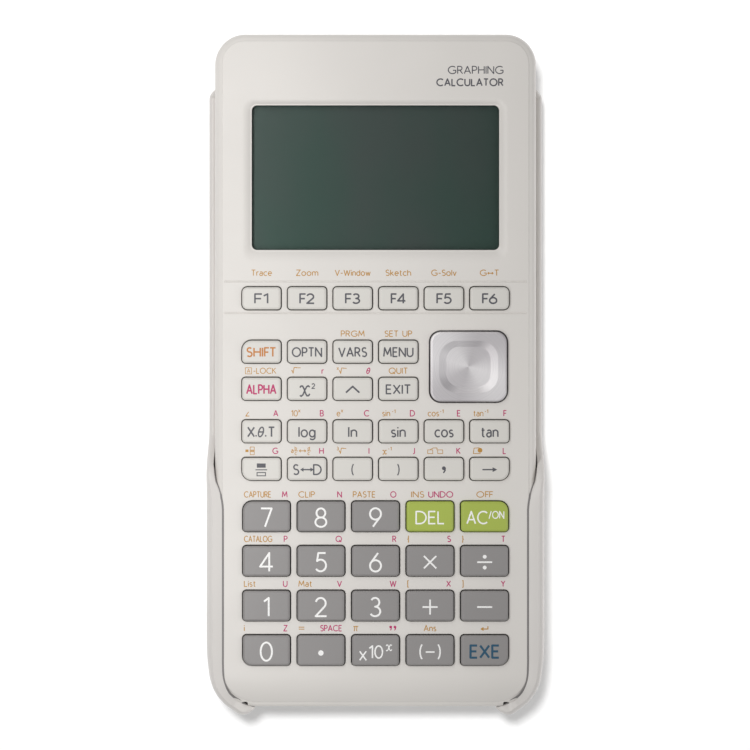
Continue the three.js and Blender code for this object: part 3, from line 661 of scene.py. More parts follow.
# The shoulder, from the crease down to the side: share of the way from side to crease, and depth.
SHOULDER = (
    *((0.86, 0.27), (0.7, 0.37), (0.55, 0.54), (0.4, 0.82), (0.27, 1.2)),
    *((0.16, 1.66), (0.07, 2.25), (0.02, 2.8), (0.0, 3.3)),
)
GROOVES = (23.3, 15.1)
GROOVE_HALF, GROOVE_DEPTH, GROOVE_END = 0.3, 0.24, 39.3
HOLE_EDGE, HOLE_LIP = 0.13, 0.2
KEY_CLEAR, PAD_CLEAR = 0.28, 0.4
WALL, SIDE_WALL = 1.4, 1.7
CEILING = FACE - WALL
PARTING = FRONT_LOW.z
WALL_FOOT = 15.6  # where the front shell's side wall begins to turn into its ceiling
WINDOW_OVERLAP = 1.05  # from the window's opening to the edge of its plate
LEDGE = 1.05  # how far the ledge round the window lies below the face
LCD_MARGIN = 3.3  # from the window's opening to the opening in the ceiling for the LCD
PLATE_LOW, PLATE_HIGH = box_mm("display_window")


def roll(y):
    """How far the face has dropped at y, along the arc at its near end."""
    run = min(ROLL_START - y, 8.9)
    return 0.0 if run <= 0 else ROLL_RADIUS - math.sqrt(ROLL_RADIUS**2 - run**2)


def near_share(y):
    """0 on the body, rising to 1 at its near end, where the shoulder is shallower."""
    return smooth((-78.0 - y) / 8.0)


def face_level(x, y):
    groove = 0.0
    if abs(x) < GROOVE_END:
        groove = GROOVE_DEPTH * max(0.0, 1 - min(abs(y - g) for g in GROOVES) / GROOVE_HALF)
    return FACE - roll(y) - groove


def body_outline(inset=0.0, near_inset=None):
    near = inset if near_inset is None else near_inset
    low, high = BOTTOM_RADIUS - (inset + near) / 2, TOP_RADIUS - inset
    sides = (-HALF_W + inset, HALF_W - inset, -HALF_L + near, HALF_L - inset)
    return rounded(*sides, (low, high, high, low), OUTLINE_STEPS)


def crease_plan(grow):
    return body_outline(CREASE + grow, CREASE_NEAR + grow)


# Key corners rounder than the rest, numbered bottom right, top right, top left, bottom left.
KEY_RADII = {
    **{("key_f1", 2): 1.35, ("key_f1", 3): 1.35, ("key_f6", 0): 1.35, ("key_f6", 1): 1.35},
    **{("key_shift", 2): 2.4, ("key_fraction", 3): 2.4, ("key_store", 0): 2.4},
    **{("key_7", 2): 2.3, ("key_ac_on", 1): 2.3, ("key_0", 3): 2.3, ("key_exe", 0): 2.3},
}


def key_plan(name, margin):
    """The outline of a key's cap, grown by margin, from its CAD box."""
    low, high = box_mm(name)
    radii = tuple(KEY_RADII.get((name, corner), 0.85) + margin for corner in range(4))
    grow = margin - KEY_FLANGE
    return rounded(low.x - grow, high.x + grow, low.y - grow, high.y + grow, radii, 5)


PAD_LOW, PAD_HIGH = box_mm("cursor_pad")
PAD_MIDDLE = (PAD_LOW + PAD_HIGH) / 2
PAD_FLANGE = 0.9
PAD_HALF = ((PAD_HIGH.x - PAD_LOW.x) / 2 - PAD_FLANGE, (PAD_HIGH.y - PAD_LOW.y) / 2 - PAD_FLANGE)
PAD_RADIUS = 2.7
PAD_STEPS = 12


def pad_plan(inset, radius=None):
    half_x, half_y = PAD_HALF[0] - inset, PAD_HALF[1] - inset
    r = PAD_RADIUS - inset if radius is None else radius
    r = max(0.4, min(r, half_x - 0.02, half_y - 0.02))
    return block(PAD_MIDDLE.x, PAD_MIDDLE.y, half_x, half_y, r, PAD_STEPS)


def window_plan(grow, radius=1.4):
    grow -= WINDOW_OVERLAP
    sides = (PLATE_LOW.x - grow, PLATE_HIGH.x + grow, PLATE_LOW.y - grow, PLATE_HIGH.y + grow)
    return rounded(*sides, radius)


def opening(shape, plan_of, cuts):
    """A hole through the face with a softened edge; plan_of gives its outline grown by a margin."""
    levels = [(HOLE_LIP, FACE), (HOLE_EDGE, FACE)]
    for degrees in (30, 60, 90):
        a = math.radians(degrees)
        levels.append((HOLE_EDGE * (1 - math.sin(a)), FACE - HOLE_EDGE * (1 - math.cos(a))))
    shape.tube(stack(plan_of, *levels, (0, CEILING)))
    cuts.append((plan_of(HOLE_LIP), plan_of(0)))


RECESS_HALF, RECESS_NEAR, RECESS_FAR = 34.55, 28.0, 71.0


def display_recess(shape):
    """The slope, ledge and pocket of the display. Returns its outline on the face."""
    outer = rounded(-RECESS_HALF, RECESS_HALF, RECESS_NEAR, RECESS_FAR, 3.2)
    half = RECESS_HALF + 0.3
    support = rounded(-half, half, RECESS_NEAR - 0.4, RECESS_FAR + 0.3, 3.5)
    ledge = window_plan(0.32, 1.65)
    floor = FACE - LEDGE
    rings = [lift(support, FACE), lift(outer, FACE)]
    for step in range(1, 10):
        rings.append(lift(blend_plan(outer, ledge, step / 10), FACE - LEDGE * (step / 10) ** 1.8))
    rings.append(lift(ledge, floor))
    pocket, pocket_top, pocket_low = WINDOW_OVERLAP + 0.25, PLATE_HIGH.z + 0.12, PLATE_LOW.z - 0.05
    edge = ((0.12, 1.5, floor), (0.04, 1.45, floor - 0.04), (0, 1.4, floor - 0.13), (0, 1.4, pocket_top))
    inside = ((pocket, 2.6, pocket_top), (pocket, 2.6, pocket_low), (LCD_MARGIN, 3.4, pocket_low))
    for grow, radius, z in (*edge, *inside, (LCD_MARGIN, 3.4, CEILING)):
        rings.append(lift(window_plan(grow, radius), z))
    shape.tube(rings)
    return support


def front_housing():
    shape = Shape()
    # The outside, from the edge of the flat face to the parting line, then up the inside.
    crease, edge = crease_plan(0), body_outline()

    def shoulder(plan, depth):
        return [
            (x, y, FACE - roll(c) - depth * lerp(1.0, NEAR_DEPTH, near_share(c)))
            for (x, y), (_, c) in zip(plan, crease)
        ]

    rings = [lift(crease_plan(0.3), face_level), lift(crease_plan(0.12), face_level)]
    turn = ((0.05, 0.04), (0, 0.14), (-0.06, 0.21))
    rings += [shoulder(crease_plan(grow), depth) for grow, depth in turn]
    rings += [shoulder(blend_plan(edge, crease, t), depth) for t, depth in SHOULDER]
    levels = ((0, PARTING + 0.18), (0.06, PARTING + 0.05), (0.18, PARTING), (SIDE_WALL, PARTING))
    rings += stack(body_outline, *levels, (SIDE_WALL, WALL_FOOT))
    ceiling_plan = body_outline(SIDE_WALL + 1.7, 8.2)
    shape.tube(rings + [lift(ceiling_plan, CEILING)])
    cuts = []
    for name in KEYS:
        opening(shape, lambda margin, n=name: key_plan(n, KEY_CLEAR + margin), cuts)
    opening(shape, lambda margin: pad_plan(-PAD_CLEAR - margin, PAD_RADIUS + PAD_CLEAR + margin), cuts)
    support = display_recess(shape)
    # The flat face, with its two fine grooves and enough points to follow the roll.
    lines = []
    for y in GROOVES:
        for offset in (-GROOVE_HALF, 0, GROOVE_HALF):
            reach = GROOVE_END - (0.0 if offset else 0.12)
            lines.append([(lerp(-reach, reach, i / 16), y + offset) for i in range(17)])
    points = []
    for row in range(15):
        y = -78.3 - 0.55 * row
        half = min(37.5, inner_half(y) - 0.7)
        count = int(half / 1.1)
        points.extend((half * i / count, y) for i in range(-count, count + 1))
    shape.sheet([crease_plan(0.3)] + [plan for plan, _ in cuts] + [support], face_level, points, lines)
    skins = [plan for _, plan in cuts] + [window_plan(LCD_MARGIN, 3.4)]
    shape.sheet([ceiling_plan] + skins, CEILING)
    piece = shape.make("front_shell", FRONT_SHELL)
    cut_sockets(piece)
    place(piece, "calculator_body", "shell", "front_housing")


def inner_half(y):
    """Half the width of the flat face at y, near the rounded bottom corners."""
    inset = CREASE + 0.3
    radius = BOTTOM_RADIUS - (inset + CREASE_NEAR + 0.3) / 2
    centre_y = -HALF_L + CREASE_NEAR + 0.3 + radius
    centre_x = HALF_W - inset - radius
    if y >= centre_y:
        return HALF_W - inset
    rise = centre_y - y
    return centre_x + math.sqrt(max(0.0, radius**2 - rise**2))


def cut_with(piece, cutter):
    """Removes the cutter's volume from the piece, for good."""
    modifier = piece.modifiers.new("cut", "BOOLEAN")
    modifier.operation = "DIFFERENCE"
    modifier.solver = "EXACT"
    modifier.object = cutter
    graph = bpy.context.evaluated_depsgraph_get()
    mesh = bpy.data.meshes.new_from_object(piece.evaluated_get(graph))
    mesh.name = piece.name
    piece.modifiers.clear()
    piece.data = mesh
    mesh.shade_smooth()
    mesh.set_sharp_from_angle(angle=math.radians(35))
    bpy.data.objects.remove(cutter)


def bar_along_y(plan, start, end):
    """A cutter whose section is a loop of x and z."""
    shape = Shape()
    shape.solid([at_y(plan, y) for y in (start, end)])
    return shape.make("cutter", SHELL)


USB_X, USB_WIDTH, USB_TOP, USB_HEIGHT = -12.0, 7.7, 16.2, 4.0
JACK_X, JACK_Z, JACK_RADIUS = 10.0, 14.4, 2.3
SOCKET_CLEAR = 0.35


def usb_plan(grow):
    left, right = USB_X - USB_WIDTH / 2 - grow, USB_X + USB_WIDTH / 2 + grow
    return rounded(left, right, USB_TOP - USB_HEIGHT - grow, USB_TOP + grow, (0.9, 0.5, 0.5, 0.9), 4)


def jack_plan(radius):
    return circle(JACK_X, JACK_Z, radius, 32)


def cut_sockets(piece):
    """The two sockets at the far end, and a notch for each hook of the case at the near end."""
    for plan in (usb_plan(SOCKET_CLEAR), jack_plan(JACK_RADIUS + SOCKET_CLEAR)):
        cut_with(piece, bar_along_y(plan, HALF_L - 4, HALF_L + 1))
    for side in (-1, 1):
        low, high = sorted((side * 33.4, side * 34.95))
        shape = Shape()
        plan = rounded(low, high, -HALF_L - 1, -86.5, 0.4, 3)
        shape.solid([lift(plan, 14.0), lift(plan, FACE)])
        cut_with(piece, shape.make("cutter", SHELL))


# ---------------------------------------------------------------- keys and their legends

# The bevel round a key: how far in from the side, and how far below the top.
KEY_BEVEL = (
    *((0, 0.46), (0.02, 0.38), (0.08, 0.31), (0.17, 0.25)),
    *((0.41, 0.06), (0.48, 0.02), (0.56, 0), (0.64, 0)),
)


def key_cap(name):
    low, high = box_mm(name)
    flange_top = low.z + 0.6
    levels = [(KEY_FLANGE, low.z), (KEY_FLANGE, flange_top), (0, flange_top)]
    levels += [(-inset, high.z - drop) for inset, drop in KEY_BEVEL]
    shape = Shape()
    shape.solid(stack(lambda margin: key_plan(name, margin), *levels))
    slot = key_slot(name)
    shape.put(name.replace("key_", "cap_"), KEY_PLASTICS[slot], name, slot, name)


def key_slot(name):
    low, high = box_mm(name)
    large = "green_key" if name in GREEN_KEYS else "grey_key"
    return large if high.x - low.x > LARGE_KEY_WIDTH else "white_key"


# Legends that are plain text: text, size, weight, colour, width.
CAPS = {
    "shift": ("SHIFT", 2.25, 0.4, "orange", 7.8),
    "alpha": ("ALPHA", 2.25, 0.4, "magenta", 7.9),
    "del": ("DEL", 3.15, 0.38, "white", 7.6),
    "exe": ("EXE", 3.15, 0.56, "teal", 7.9),
}
for word, wide in (("optn", 7.9), ("vars", 7.5), ("menu", 7.9), ("exit", 6.6)):
    CAPS[word] = (word.upper(), 2.25, 0.37, "dark", wide)
for word, wide in (("log", 4.5), ("ln", 2.4), ("sin", 3.9), ("cos", 5.0), ("tan", 4.6)):
    CAPS[word] = (word, 2.5, 0.38, "dark", wide)
for number in range(1, 7):
    CAPS[f"f{number}"] = (f"F{number}", 2.4, 0.42, "dark", 3.7 if number == 1 else 4.0)
for digit in "0123456789":
    CAPS[digit] = (digit, 4.75, 0.48, "white", None)


def special_legends():
    """Legends drawn from shapes: colour and faces about the middle of the key."""
    write = lettering
    across, thick = "-1.95,0 1.95,0", 0.42
    dark = {
        "square": write("χ", 4.0, 0.4, -0.55, 0.2) + write("2", 1.25, 0.24, 1.65, 0.85),
        "power": strokes("-1.75,-.85 0,.75 1.75,-.85", 0.44),
        "variable": write("X", 2.45, 0.42, -2.65, 0)
        + write("θ", 2.45, 0.36, -0.35, 0, slant=0.22)
        + write("T", 2.45, 0.42, 2.65, 0)
        + spot(-1.35, -1.0, 0.22, 10)
        + spot(1.15, -1.0, 0.22, 10),
        "fraction": patch("-1.15,.5 1.15,.5 1.15,1.6 -1.15,1.6")
        + strokes("-1.5,-.05 1.5,-.05", 0.26)
        + strokes("-1.1,-.75 1.1,-.75 1.1,-1.6 -1.1,-1.6 -1.1,-.75", 0.24),
        "convert": write("S", 2.5, 0.38, -2.85, 0)
        + write("D", 2.5, 0.38, 2.7, 0)
        + strokes("-1.3,0 1.3,0", 0.36)
        + patch("-1.75,0 -.9,-.55 -.9,.55")
        + patch("1.75,0 .9,.55 .9,-.55"),
        "open_paren": write("(", 3.3, 0.3, 0, 0.25),
        "close_paren": write(")", 3.3, 0.3, 0, 0.25),
        "comma": spot(-0.05, 0.35, 0.5, 16) + strokes(".3,.45 .28,-.2 -.15,-.85", 0.36),
        "store": strokes("-1.9,0 1,0", 0.34) + patch("1.95,0 .75,.62 .75,-.62"),
    }
    white = {
        "ac_on": write("AC", 3.15, 0.38, -1.95, 0, width=5.6)
        + write("/ON", 1.8, 0.26, 3.05, 0.7, width=4.1),
        "multiply": strokes("-1.6,-1.6 1.6,1.6|-1.6,1.6 1.6,-1.6", thick),
        "divide": strokes(across, thick) + spot(0, 1.4, 0.5) + spot(0, -1.4, 0.5),
        "plus": strokes(across + "|0,-1.95 0,1.95", thick),
        "minus": strokes(across, thick),
        "point": spot(0, -0.35, 0.7, 28),
        "exponent": write("x", 3.4, 0.36, -3.25, -0.55)
        + write("10", 3.15, 0.38, 0.1, -0.1, width=3.8)
        + write("χ", 2.3, 0.26, 3.5, 1.35),
        "negative": write("(", 4.3, 0.38, -2.35, 0.3)
        + write(")", 4.3, 0.38, 2.35, 0.3)
        + strokes("-1.15,-.1 1.15,-.1", 0.38),
    }
    colors = {"dark": dark, "white": white}
    return {key: (color, faces) for color, group in colors.items() for key, faces in group.items()}


def key_legends():
    legends = special_legends()
    for key, (text, size, weight, color, width) in CAPS.items():
        legends[key] = (color, lettering(text, size, weight, 0, 0, width=width))
    for key, (color, faces) in legends.items():
        name = "key_" + key
        low, high = box_mm(name)
        middle = (low + high) / 2
        shift = Vector((middle.x, middle.y - (0.2 if high.x - low.x > LARGE_KEY_WIDTH else 0.1)))
        moved = [[p + shift for p in face] for face in faces]
        print_on("legend_" + key, moved, high.z, name, color, key_slot(name))


# Words above the keys: key, then left|middle|right, each a text and its width if it has one.
LABEL_ROWS = """
f1 |Trace 5.4|
f2 |Zoom 5.8|
f3 |V-Window 9.3|
f4 |Sketch 6.7|
f5 |G-Solv 6.6|
f6 |G↔T 5|
vars |PRGM 6.2|
menu |SET UP 7.2|
exit |QUIT 5|
7 CAPTURE 7.1||M
8 CLIP 4.3||N
9 PASTE 5.9||O
ac_on |OFF 4.2|
4 CATALOG 7.4||P
5 ||Q
6 ||R
multiply {||S
divide }||T
1 List 3.1||U
2 Mat 3.6||V
3 ||W
plus [||X
minus ]||Y
0 i||Z
point =||SPACE 5.7
exponent π||
negative |Ans 3.3|
variable ∠||A
log ||B
ln ||C
sin ||D
cos ||E
tan ||F
fraction ||G
convert ||H
open_paren ||I
close_paren ||J
comma ||K
store ||L
"""
LABEL_SIZE, LABEL_WEIGHT, LETTER_WEIGHT = 1.45, 0.22, 0.24
LABEL_RISE, FUNCTION_LABEL_RISE = 1.8, 3.75


def label_anchors(key):
    """The x of the left, middle and right labels above a key, and their y."""
    low, high = box_mm("key_" + key)
    left, right, top = low.x + KEY_FLANGE, high.x - KEY_FLANGE, high.y - KEY_FLANGE
    rise = FUNCTION_LABEL_RISE if key[0] == "f" and key[1:].isdigit() else LABEL_RISE
    inset = 0.8 if key_slot("key_" + key) == "white_key" else 0.2
    return left + inset, (left + right) / 2, right - 0.65, top + rise


def small_icons():
    """Labels that mix sizes or are pictures, about the left end of their line."""

    def words(*parts):
        faces = []
        for text, size, x, y in parts:
            faces += lettering(text, size, 0.2 if size > 1 else 0.16, x, y, anchor=0.0)
        return faces

    def box(x0, y0, x1, y1):
        return strokes(f"{x0},{y0} {x1},{y0} {x1},{y1} {x0},{y1} {x0},{y0}", 0.16)

    fine = 0.18
    icons = {
        "alpha": box(0, -0.8, 1.6, 0.8) + words(("A", 1.0, 0.38, 0), ("-LOCK", 1.42, 2.0, 0)),
        "square": words(("√", 1.5, 0, 0.1)) + strokes("1.3,.78 2.5,.78", fine),
        "power": words(("x", 0.9, 0, 0.7), ("√", 1.4, 0.55, 0)) + strokes("1.8,.66 2.6,.66", fine),
        "log": words(("10", LABEL_SIZE, 0, 0), ("x", 0.95, 1.85, 0.75)),
        "ln": words(("e", LABEL_SIZE, 0, 0), ("x", 0.95, 1.1, 0.75)),
        "fraction": patch("0,-.3 .8,-.3 .8,.35 0,.35")
        + box(1.25, 0.2, 2.3, 1.0)
        + strokes("1.1,0 2.45,0", fine)
        + box(1.25, -1.0, 2.3, -0.2),
        "convert": words(("a", 1.1, 0, 0.1), ("b", 0.85, 0.95, 0.65), ("c", 0.85, 0.95, -0.6))
        + words(("d", 0.85, 4.3, 0.65), ("c", 0.85, 4.3, -0.6))
        + strokes(".8,0 1.8,0|4.15,0 5.15,0|2.5,.32 2.15,0 2.5,-.32|3.5,.32 3.85,0 3.5,-.32", fine)
        + strokes("2.2,0 3.8,0", 0.2),
        "open_paren": words(("3", 0.8, 0, 0.6), ("√", 1.35, 0.5, 0)) + strokes("1.7,.63 2.5,.63", fine),
        "close_paren": words(("χ", 1.6, 0, -0.1), ("-", 0.85, 1.5, 0.55), ("1", 0.85, 2.1, 0.55)),
        "comma": box(0, -0.7, 1.3, 0.25)
        + strokes(".6,.3 1.5,.75 2.4,.75 2.4,.2", fine)
        + box(2.6, -0.7, 3.9, 0.25),
        "store": strokes(".2,.7 0,-.7 1.9,-.7|.2,.7 1.6,.8", fine) + spot(1.75, 0.15, 0.62, 18),
    }
    for key, wide in (("sin", 2.35), ("cos", 3.0), ("tan", 2.75)):
        raised = (("-", 0.85, wide + 0.15, 0.5), ("1", 0.85, wide + 0.75, 0.5))
        icons[key] = words((key, LABEL_SIZE, 0, 0), *raised)
    return icons


def face_labels():
    """Every printed word on the shell, as one film of ink for each colour."""
    inked = {"ochre": [], "magenta": [], "dark": []}

    def write(color, text, x, y, anchor, width=None, weight=LABEL_WEIGHT, slant=0.0):
        inked[color] += lettering(text, LABEL_SIZE, weight, x, y, anchor, width, slant)

    for row in LABEL_ROWS.split("\n")[1:-1]:
        key, entries = row.split(" ", 1)
        *xs, y = label_anchors(key)
        for index, entry in enumerate(entries.split("|")):
            text, _, width = entry.rpartition(" ")
            text, width = (text, float(width)) if text else (entry, None)
            color, weight = ("magenta", LETTER_WEIGHT) if index == 2 else ("ochre", LABEL_WEIGHT)
            if entry:
                write(color, text, xs[index], y, index / 2, width, weight)
    x_left, _, x_right, y = label_anchors("del")
    write("ochre", "INS", x_left + 1.0, y, 0.0, 3.4)
    write("magenta", "UNDO", x_right + 0.6, y, 1.0, 6.5, LETTER_WEIGHT)
    for key, text, slant in (("square", "r", 0.0), ("power", "θ", 0.25)):
        _, _, x_right, y = label_anchors(key)
        write("magenta", text, x_right, y, 1.0, None, LETTER_WEIGHT, slant)
    _, _, x_right, y = label_anchors("exponent")
    for offset in (0.3, 1.4):
        top = Vector((x_right - offset - 0.1, y + 0.3))
        tail = [top + Vector(v) for v in ((0.2, 0), (0.14, -0.5), (-0.12, -0.85))]
        inked["magenta"] += [disc(top, 0.36, 14)] + ribbons(tail, LETTER_WEIGHT)
    _, x_middle, _, y = label_anchors("exe")
    write("ochre", "↵", x_middle, y, 0.5, 2.1, 0.28)
    for key, faces in small_icons().items():
        x, _, _, y = label_anchors(key)
        inked["ochre"] += [[p + Vector((x, y)) for p in face] for face in faces]
    titles = (("GRAPHING", 78.3, 1.9, 0.26, 14.5), ("CALCULATOR", 75.1, 1.75, 0.34, 17.5))
    for text, y, size, weight, width in titles:
        inked["dark"] += lettering(text, size, weight, PLATE_HIGH.x, y, anchor=1.0, width=width)
    for color, faces in inked.items():
        print_on("print_" + color, faces, FACE, "calculator_body", color, "shell")


# ---------------------------------------------------------------- cursor pad and display


def slab(plan_of, low, high, bevel):
    """Rings of a plate with bevelled edges; plan_of gives its outline pulled in by a margin."""
    return stack(plan_of, (bevel, low), (0, low + bevel), (0, high - bevel), (bevel, high))


def cursor_pad():
    """The pad's cap: a hub below, a flange, a rounded edge, a flat rim, four slopes and a shallow dish."""
    top, low = PAD_HIGH.z, PAD_LOW.z
    x, y = PAD_MIDDLE.x, PAD_MIDDLE.y
    hub_radius, hub_top, flange_thick = 5.6, 20.3, 0.5
    sides = 4 * (PAD_STEPS + 1)
    hub = circle(x, y, hub_radius, sides)
    hub = hub[-(sides // 8) :] + hub[: -(sides // 8)]
    edge = 0.55
    flange_top = low + flange_thick
    levels = [(-PAD_FLANGE, low), (-PAD_FLANGE, flange_top), (0, flange_top), (0, top - edge)]
    for degrees in range(10, 91, 10):
        a = math.radians(degrees)
        levels.append((edge * (1 - math.cos(a)), top - edge * (1 - math.sin(a))))
    rings = [lift(hub, hub_top), lift(hub, low)] + stack(pad_plan, *levels)
    rim, rim_radius = PAD_HALF[0] * 0.23, 4.6
    flat = ((edge + 0.08, 2.5, top), (rim - 0.1, rim_radius, top), (rim, rim_radius, top - 0.01))
    rings += [lift(pad_plan(inset, radius), z) for inset, radius, z in flat]
    depth, sag = 1.15, 0.1
    dish_x, dish_y, dish_radius = 5.75, 5.2, 3.4
    outer = pad_plan(rim + 0.06, rim_radius)
    inner = block(x, y, dish_x, dish_y, dish_radius, PAD_STEPS)
    for step in range(5):
        rings.append(lift(blend_plan(outer, inner, step / 4), top - 0.03 - (depth - 0.03) * step / 4))
    for share in (0.985, 0.8, 0.6, 0.4, 0.2, 0.07):
        radius = min(lerp(5.4, dish_radius, share**4), dish_y * share * 0.99)
        loop = block(x, y, dish_x * share, dish_y * share, radius, PAD_STEPS)
        rings.append(lift(loop, top - depth - sag * (1 - share**2)))
    shape = Shape()
    shape.solid(rings)
    shape.put("cursor_pad_cap", SILVER, "cursor_pad", "pad", "cursor_pad", sharp=12)


def display():
    low, high = PLATE_LOW.z, PLATE_HIGH.z
    levels = ((0.1, 2.3, low), (0, 2.4, low + 0.1), (0, 2.4, high - 0.1), (0.1, 2.3, high))
    shape = Shape()
    shape.solid([lift(window_plan(WINDOW_OVERLAP - inset, radius), z) for inset, radius, z in levels])
    shape.put("window_plate", ACRYLIC, "calculator_body", "window", "display_window")
    low, high = box_mm("lcd_panel")

    def panel(inset):
        return rounded(low.x + inset, high.x - inset, low.y + inset, high.y - inset, 0.4, 3)

    shape = Shape()
    shape.solid(slab(panel, low.z, high.z, 0.12))
    shape.put("lcd_sheet", LCD_GLASS, "calculator_body", "lcd", "lcd_panel")


# ---------------------------------------------------------------- rear shell and battery cover

PARTING_GAP = 0.3
BOSSES = [(side * x, y) for x, y in ((35.0, 80.5), (38.2, 0.0), (35.0, -80.5)) for side in (-1, 1)]
BACK = REAR_LOW.z
SKIN = BACK + 1.5  # the inner face of the back
# The turn from the side to the back: how far in, and how far above the back.
BACK_PROFILE = (
    *((0.0, 4.9), (0.03, 4.0), (0.1, 3.2), (0.25, 2.4), (0.5, 1.7), (0.9, 1.1)),
    *((1.45, 0.62), (2.1, 0.28), (2.8, 0.07), (3.6, 0.0), (3.75, 0.0)),
)
COVER_LOW, COVER_HIGH = box_mm("battery_cover")
COVER_STEPS = 5
TONGUE_HALF, TONGUE_REACH = 6.0, 1.6
BAY_HALF_W, BAY_HALF_L, BAY_TOP = 22.0, 24.5, 15.8


def cover_plan(grow, tongue=True):
    """The battery cover's outline, with the tongue on its far edge."""
    bottom, top = COVER_LOW.y - grow, COVER_HIGH.y - TONGUE_REACH + grow
    plan = rounded(COVER_LOW.x - grow, COVER_HIGH.x + grow, bottom, top, 2 + grow, COVER_STEPS)
    if not tongue:
        return plan
    half, tip, cut = TONGUE_HALF + grow, COVER_HIGH.y + grow, 0.4
    right = [(half, top), (half, tip - cut), (half - cut, tip)]
    right_corners = 2 * (COVER_STEPS + 1)
    return plan[:right_corners] + right + [(-x, y) for x, y in reversed(right)] + plan[right_corners:]


def rear_housing():
    shape = Shape()
    top = PARTING - PARTING_GAP
    levels = [(SIDE_WALL + 2.2, SKIN), (SIDE_WALL + 0.5, SKIN + 1.2), (SIDE_WALL, SKIN + 3)]
    levels += [(SIDE_WALL, top), (0.18, top), (0.06, top - 0.05), (0, top - 0.18)]
    shape.tube(stack(body_outline, *levels, *((inset, BACK + rise) for inset, rise in BACK_PROFILE)))
    # The screw bosses: a countersunk head, a shoulder and the sleeve inside.
    outside_holes, inside_holes = [], []
    for x, y in BOSSES:
        levels = ((2.2, BACK), (2.06, BACK + 0.06), (2.0, BACK + 0.2), (2.0, BACK + 3.5), (1.2, BACK + 3.5))
        levels += ((1.2, REAR_HIGH.z), (2.9, REAR_HIGH.z), (2.9, SKIN))
        shape.tube(stack(lambda radius: circle(x, y, radius), *levels))
        outside_holes.append(circle(x, y, 2.2))
        inside_holes.append(circle(x, y, 2.9))
    # The opening for the cover and the bay of the cells above it.
    bay_y = (COVER_LOW.y + COVER_HIGH.y - TONGUE_REACH) / 2

    def bay(grow):
        return block(0, bay_y, BAY_HALF_W + grow, BAY_HALF_L + grow, 1.2, 5)

    clear, wall = 0.28, 1.2
    frame_plan = cover_plan(2.2, False)
    levels = ((0.45, BACK), (0.33, BACK + 0.04), (clear, BACK + 0.18), (clear, SKIN))
    shape.tube(stack(cover_plan, *levels))
    shape.sheet([cover_plan(clear), bay(0)], SKIN)
    shape.tube(stack(bay, (0, SKIN), (0, BAY_TOP), (wall, BAY_TOP), (wall, SKIN + wall)))
    shape.sheet([frame_plan, bay(wall)], SKIN + wall)
    shape.tube([lift(frame_plan, SKIN + wall), lift(frame_plan, SKIN)])
    shape.sheet([body_outline(3.75), *outside_holes, cover_plan(0.45)], BACK)
    shape.sheet([body_outline(SIDE_WALL + 2.2), *inside_holes, frame_plan], SKIN)
    shape.put("rear_shell", SHELL, "calculator_body", "shell", "rear_housing")


def battery_cover():
    """The cover, with five grip ribs near its tongue for a thumb."""
    low, high = COVER_LOW.z, COVER_HIGH.z
    e = 0.22
    shape = Shape()
    levels = ((-e, low), (-e * 0.3, low + e * 0.3), (0, low + e), (0, high - 0.1), (-0.1, high))
    shape.tube(stack(cover_plan, *levels))
    shape.sheet([cover_plan(-0.1)], high)
    ribs = []
    for i in range(5):
        y = COVER_HIGH.y - 10.1 + 1.3 * i
        half = 5.2 - abs(i - 2) * 0.5
        ribs.append(block(0, y, half, 0.3, 0.29, 4))
        inner = block(0, y, half - 0.2, 0.12, 0.1, 4)
        shape.tube([lift(ribs[-1], low), lift(inner, low + e)])
        shape.sheet([inner], low + e)
    shape.sheet([cover_plan(-e)] + ribs, low)
    shape.put("battery_door", SHELL, "battery_cover", "shell", "battery_cover")


def screws():
    """Six screws with cross-slotted heads, deep in their bosses."""
    head, radius, shank = BACK + 1.9, 1.75, 1.0
    arm, half, slot_depth = 1.05, 0.2, 0.7
    for number, (x, y) in enumerate(BOSSES, 1):
        cross = []
        for quarter in range(4):
            c, s = math.cos(math.radians(90 * quarter)), math.sin(math.radians(90 * quarter))
            corners = ((half, -half), (arm, -half), (arm, half))
            cross += [(x + px * c - py * s, y + px * s + py * c) for px, py in corners]
        small = [(lerp(x, px, 0.7), lerp(y, py, 0.7)) for px, py in cross]
        shape = Shape()
        shape.tube([lift(cross, head), lift(small, head + slot_depth)])
        shape.sheet([small], head + slot_depth)
        shape.sheet([circle(x, y, radius * 0.75), cross], head)
        levels = ((radius * 0.75, head), (radius * 0.93, head + 0.14), (radius, head + 0.4))
        levels += ((radius, head + 1.3), (shank, head + 1.3), (shank, head + 6))
        made = shape.tube(stack(lambda r: circle(x, y, r), *levels))
        shape.face(made[-1])
        shape.put(f"screw_{number}", METAL, "calculator_body", "cell")


# ---------------------------------------------------------------- slide case

CASE_W, CASE_FAR = CASE_HIGH.x, CASE_HIGH.y
FAR_RADIUS = 6.5
CASE_WALL = 1.95
WALL_TOP, ARM_TOP = 12.0, CASE_HIGH.z
BODY_CLEAR = HALF_W + 0.35
NEAR_CORNER = Vector((HALF_W - BOTTOM_RADIUS, -HALF_L + BOTTOM_RADIUS))
# The hook at the near end: the outer line's x and y, and the lip's inner edge across from it.
HOOK = (
    *((31.9, -88.95, 31.6, -87.95), (32.5, -89.6, 32.2, -87.9), (33.3, -90.15, 32.9, -87.8)),
    *((34.2, -90.5, 33.6, -87.6), (35.3, -90.55, 34.3, -87.2), (36.95, -89.8, 35.3, -86.1)),
    *((38.95, -88.15, 36.6, -85.2), (40.65, -86.3, 37.8, -84.0), (42.35, -83.6, 38.85, -82.2)),
    *((43.4, -80.5, 39.55, -79.85), (43.97, -76.6, 39.75, -76.4), (44.22, -73.4, 39.75, -73.35)),
    (44.3, -70.0, 39.75, -70.0),
)
# Reach of the section inwards along the straight side, by y.
REACH_SIDE = (
    *((-36.0, 4.55), (-34.3, 4.4), (-32.5, 4.05), (-31.0, 3.6)),
    *((-28.3, 2.6), (-26.2, 2.25), (-24.0, CASE_WALL)),
)


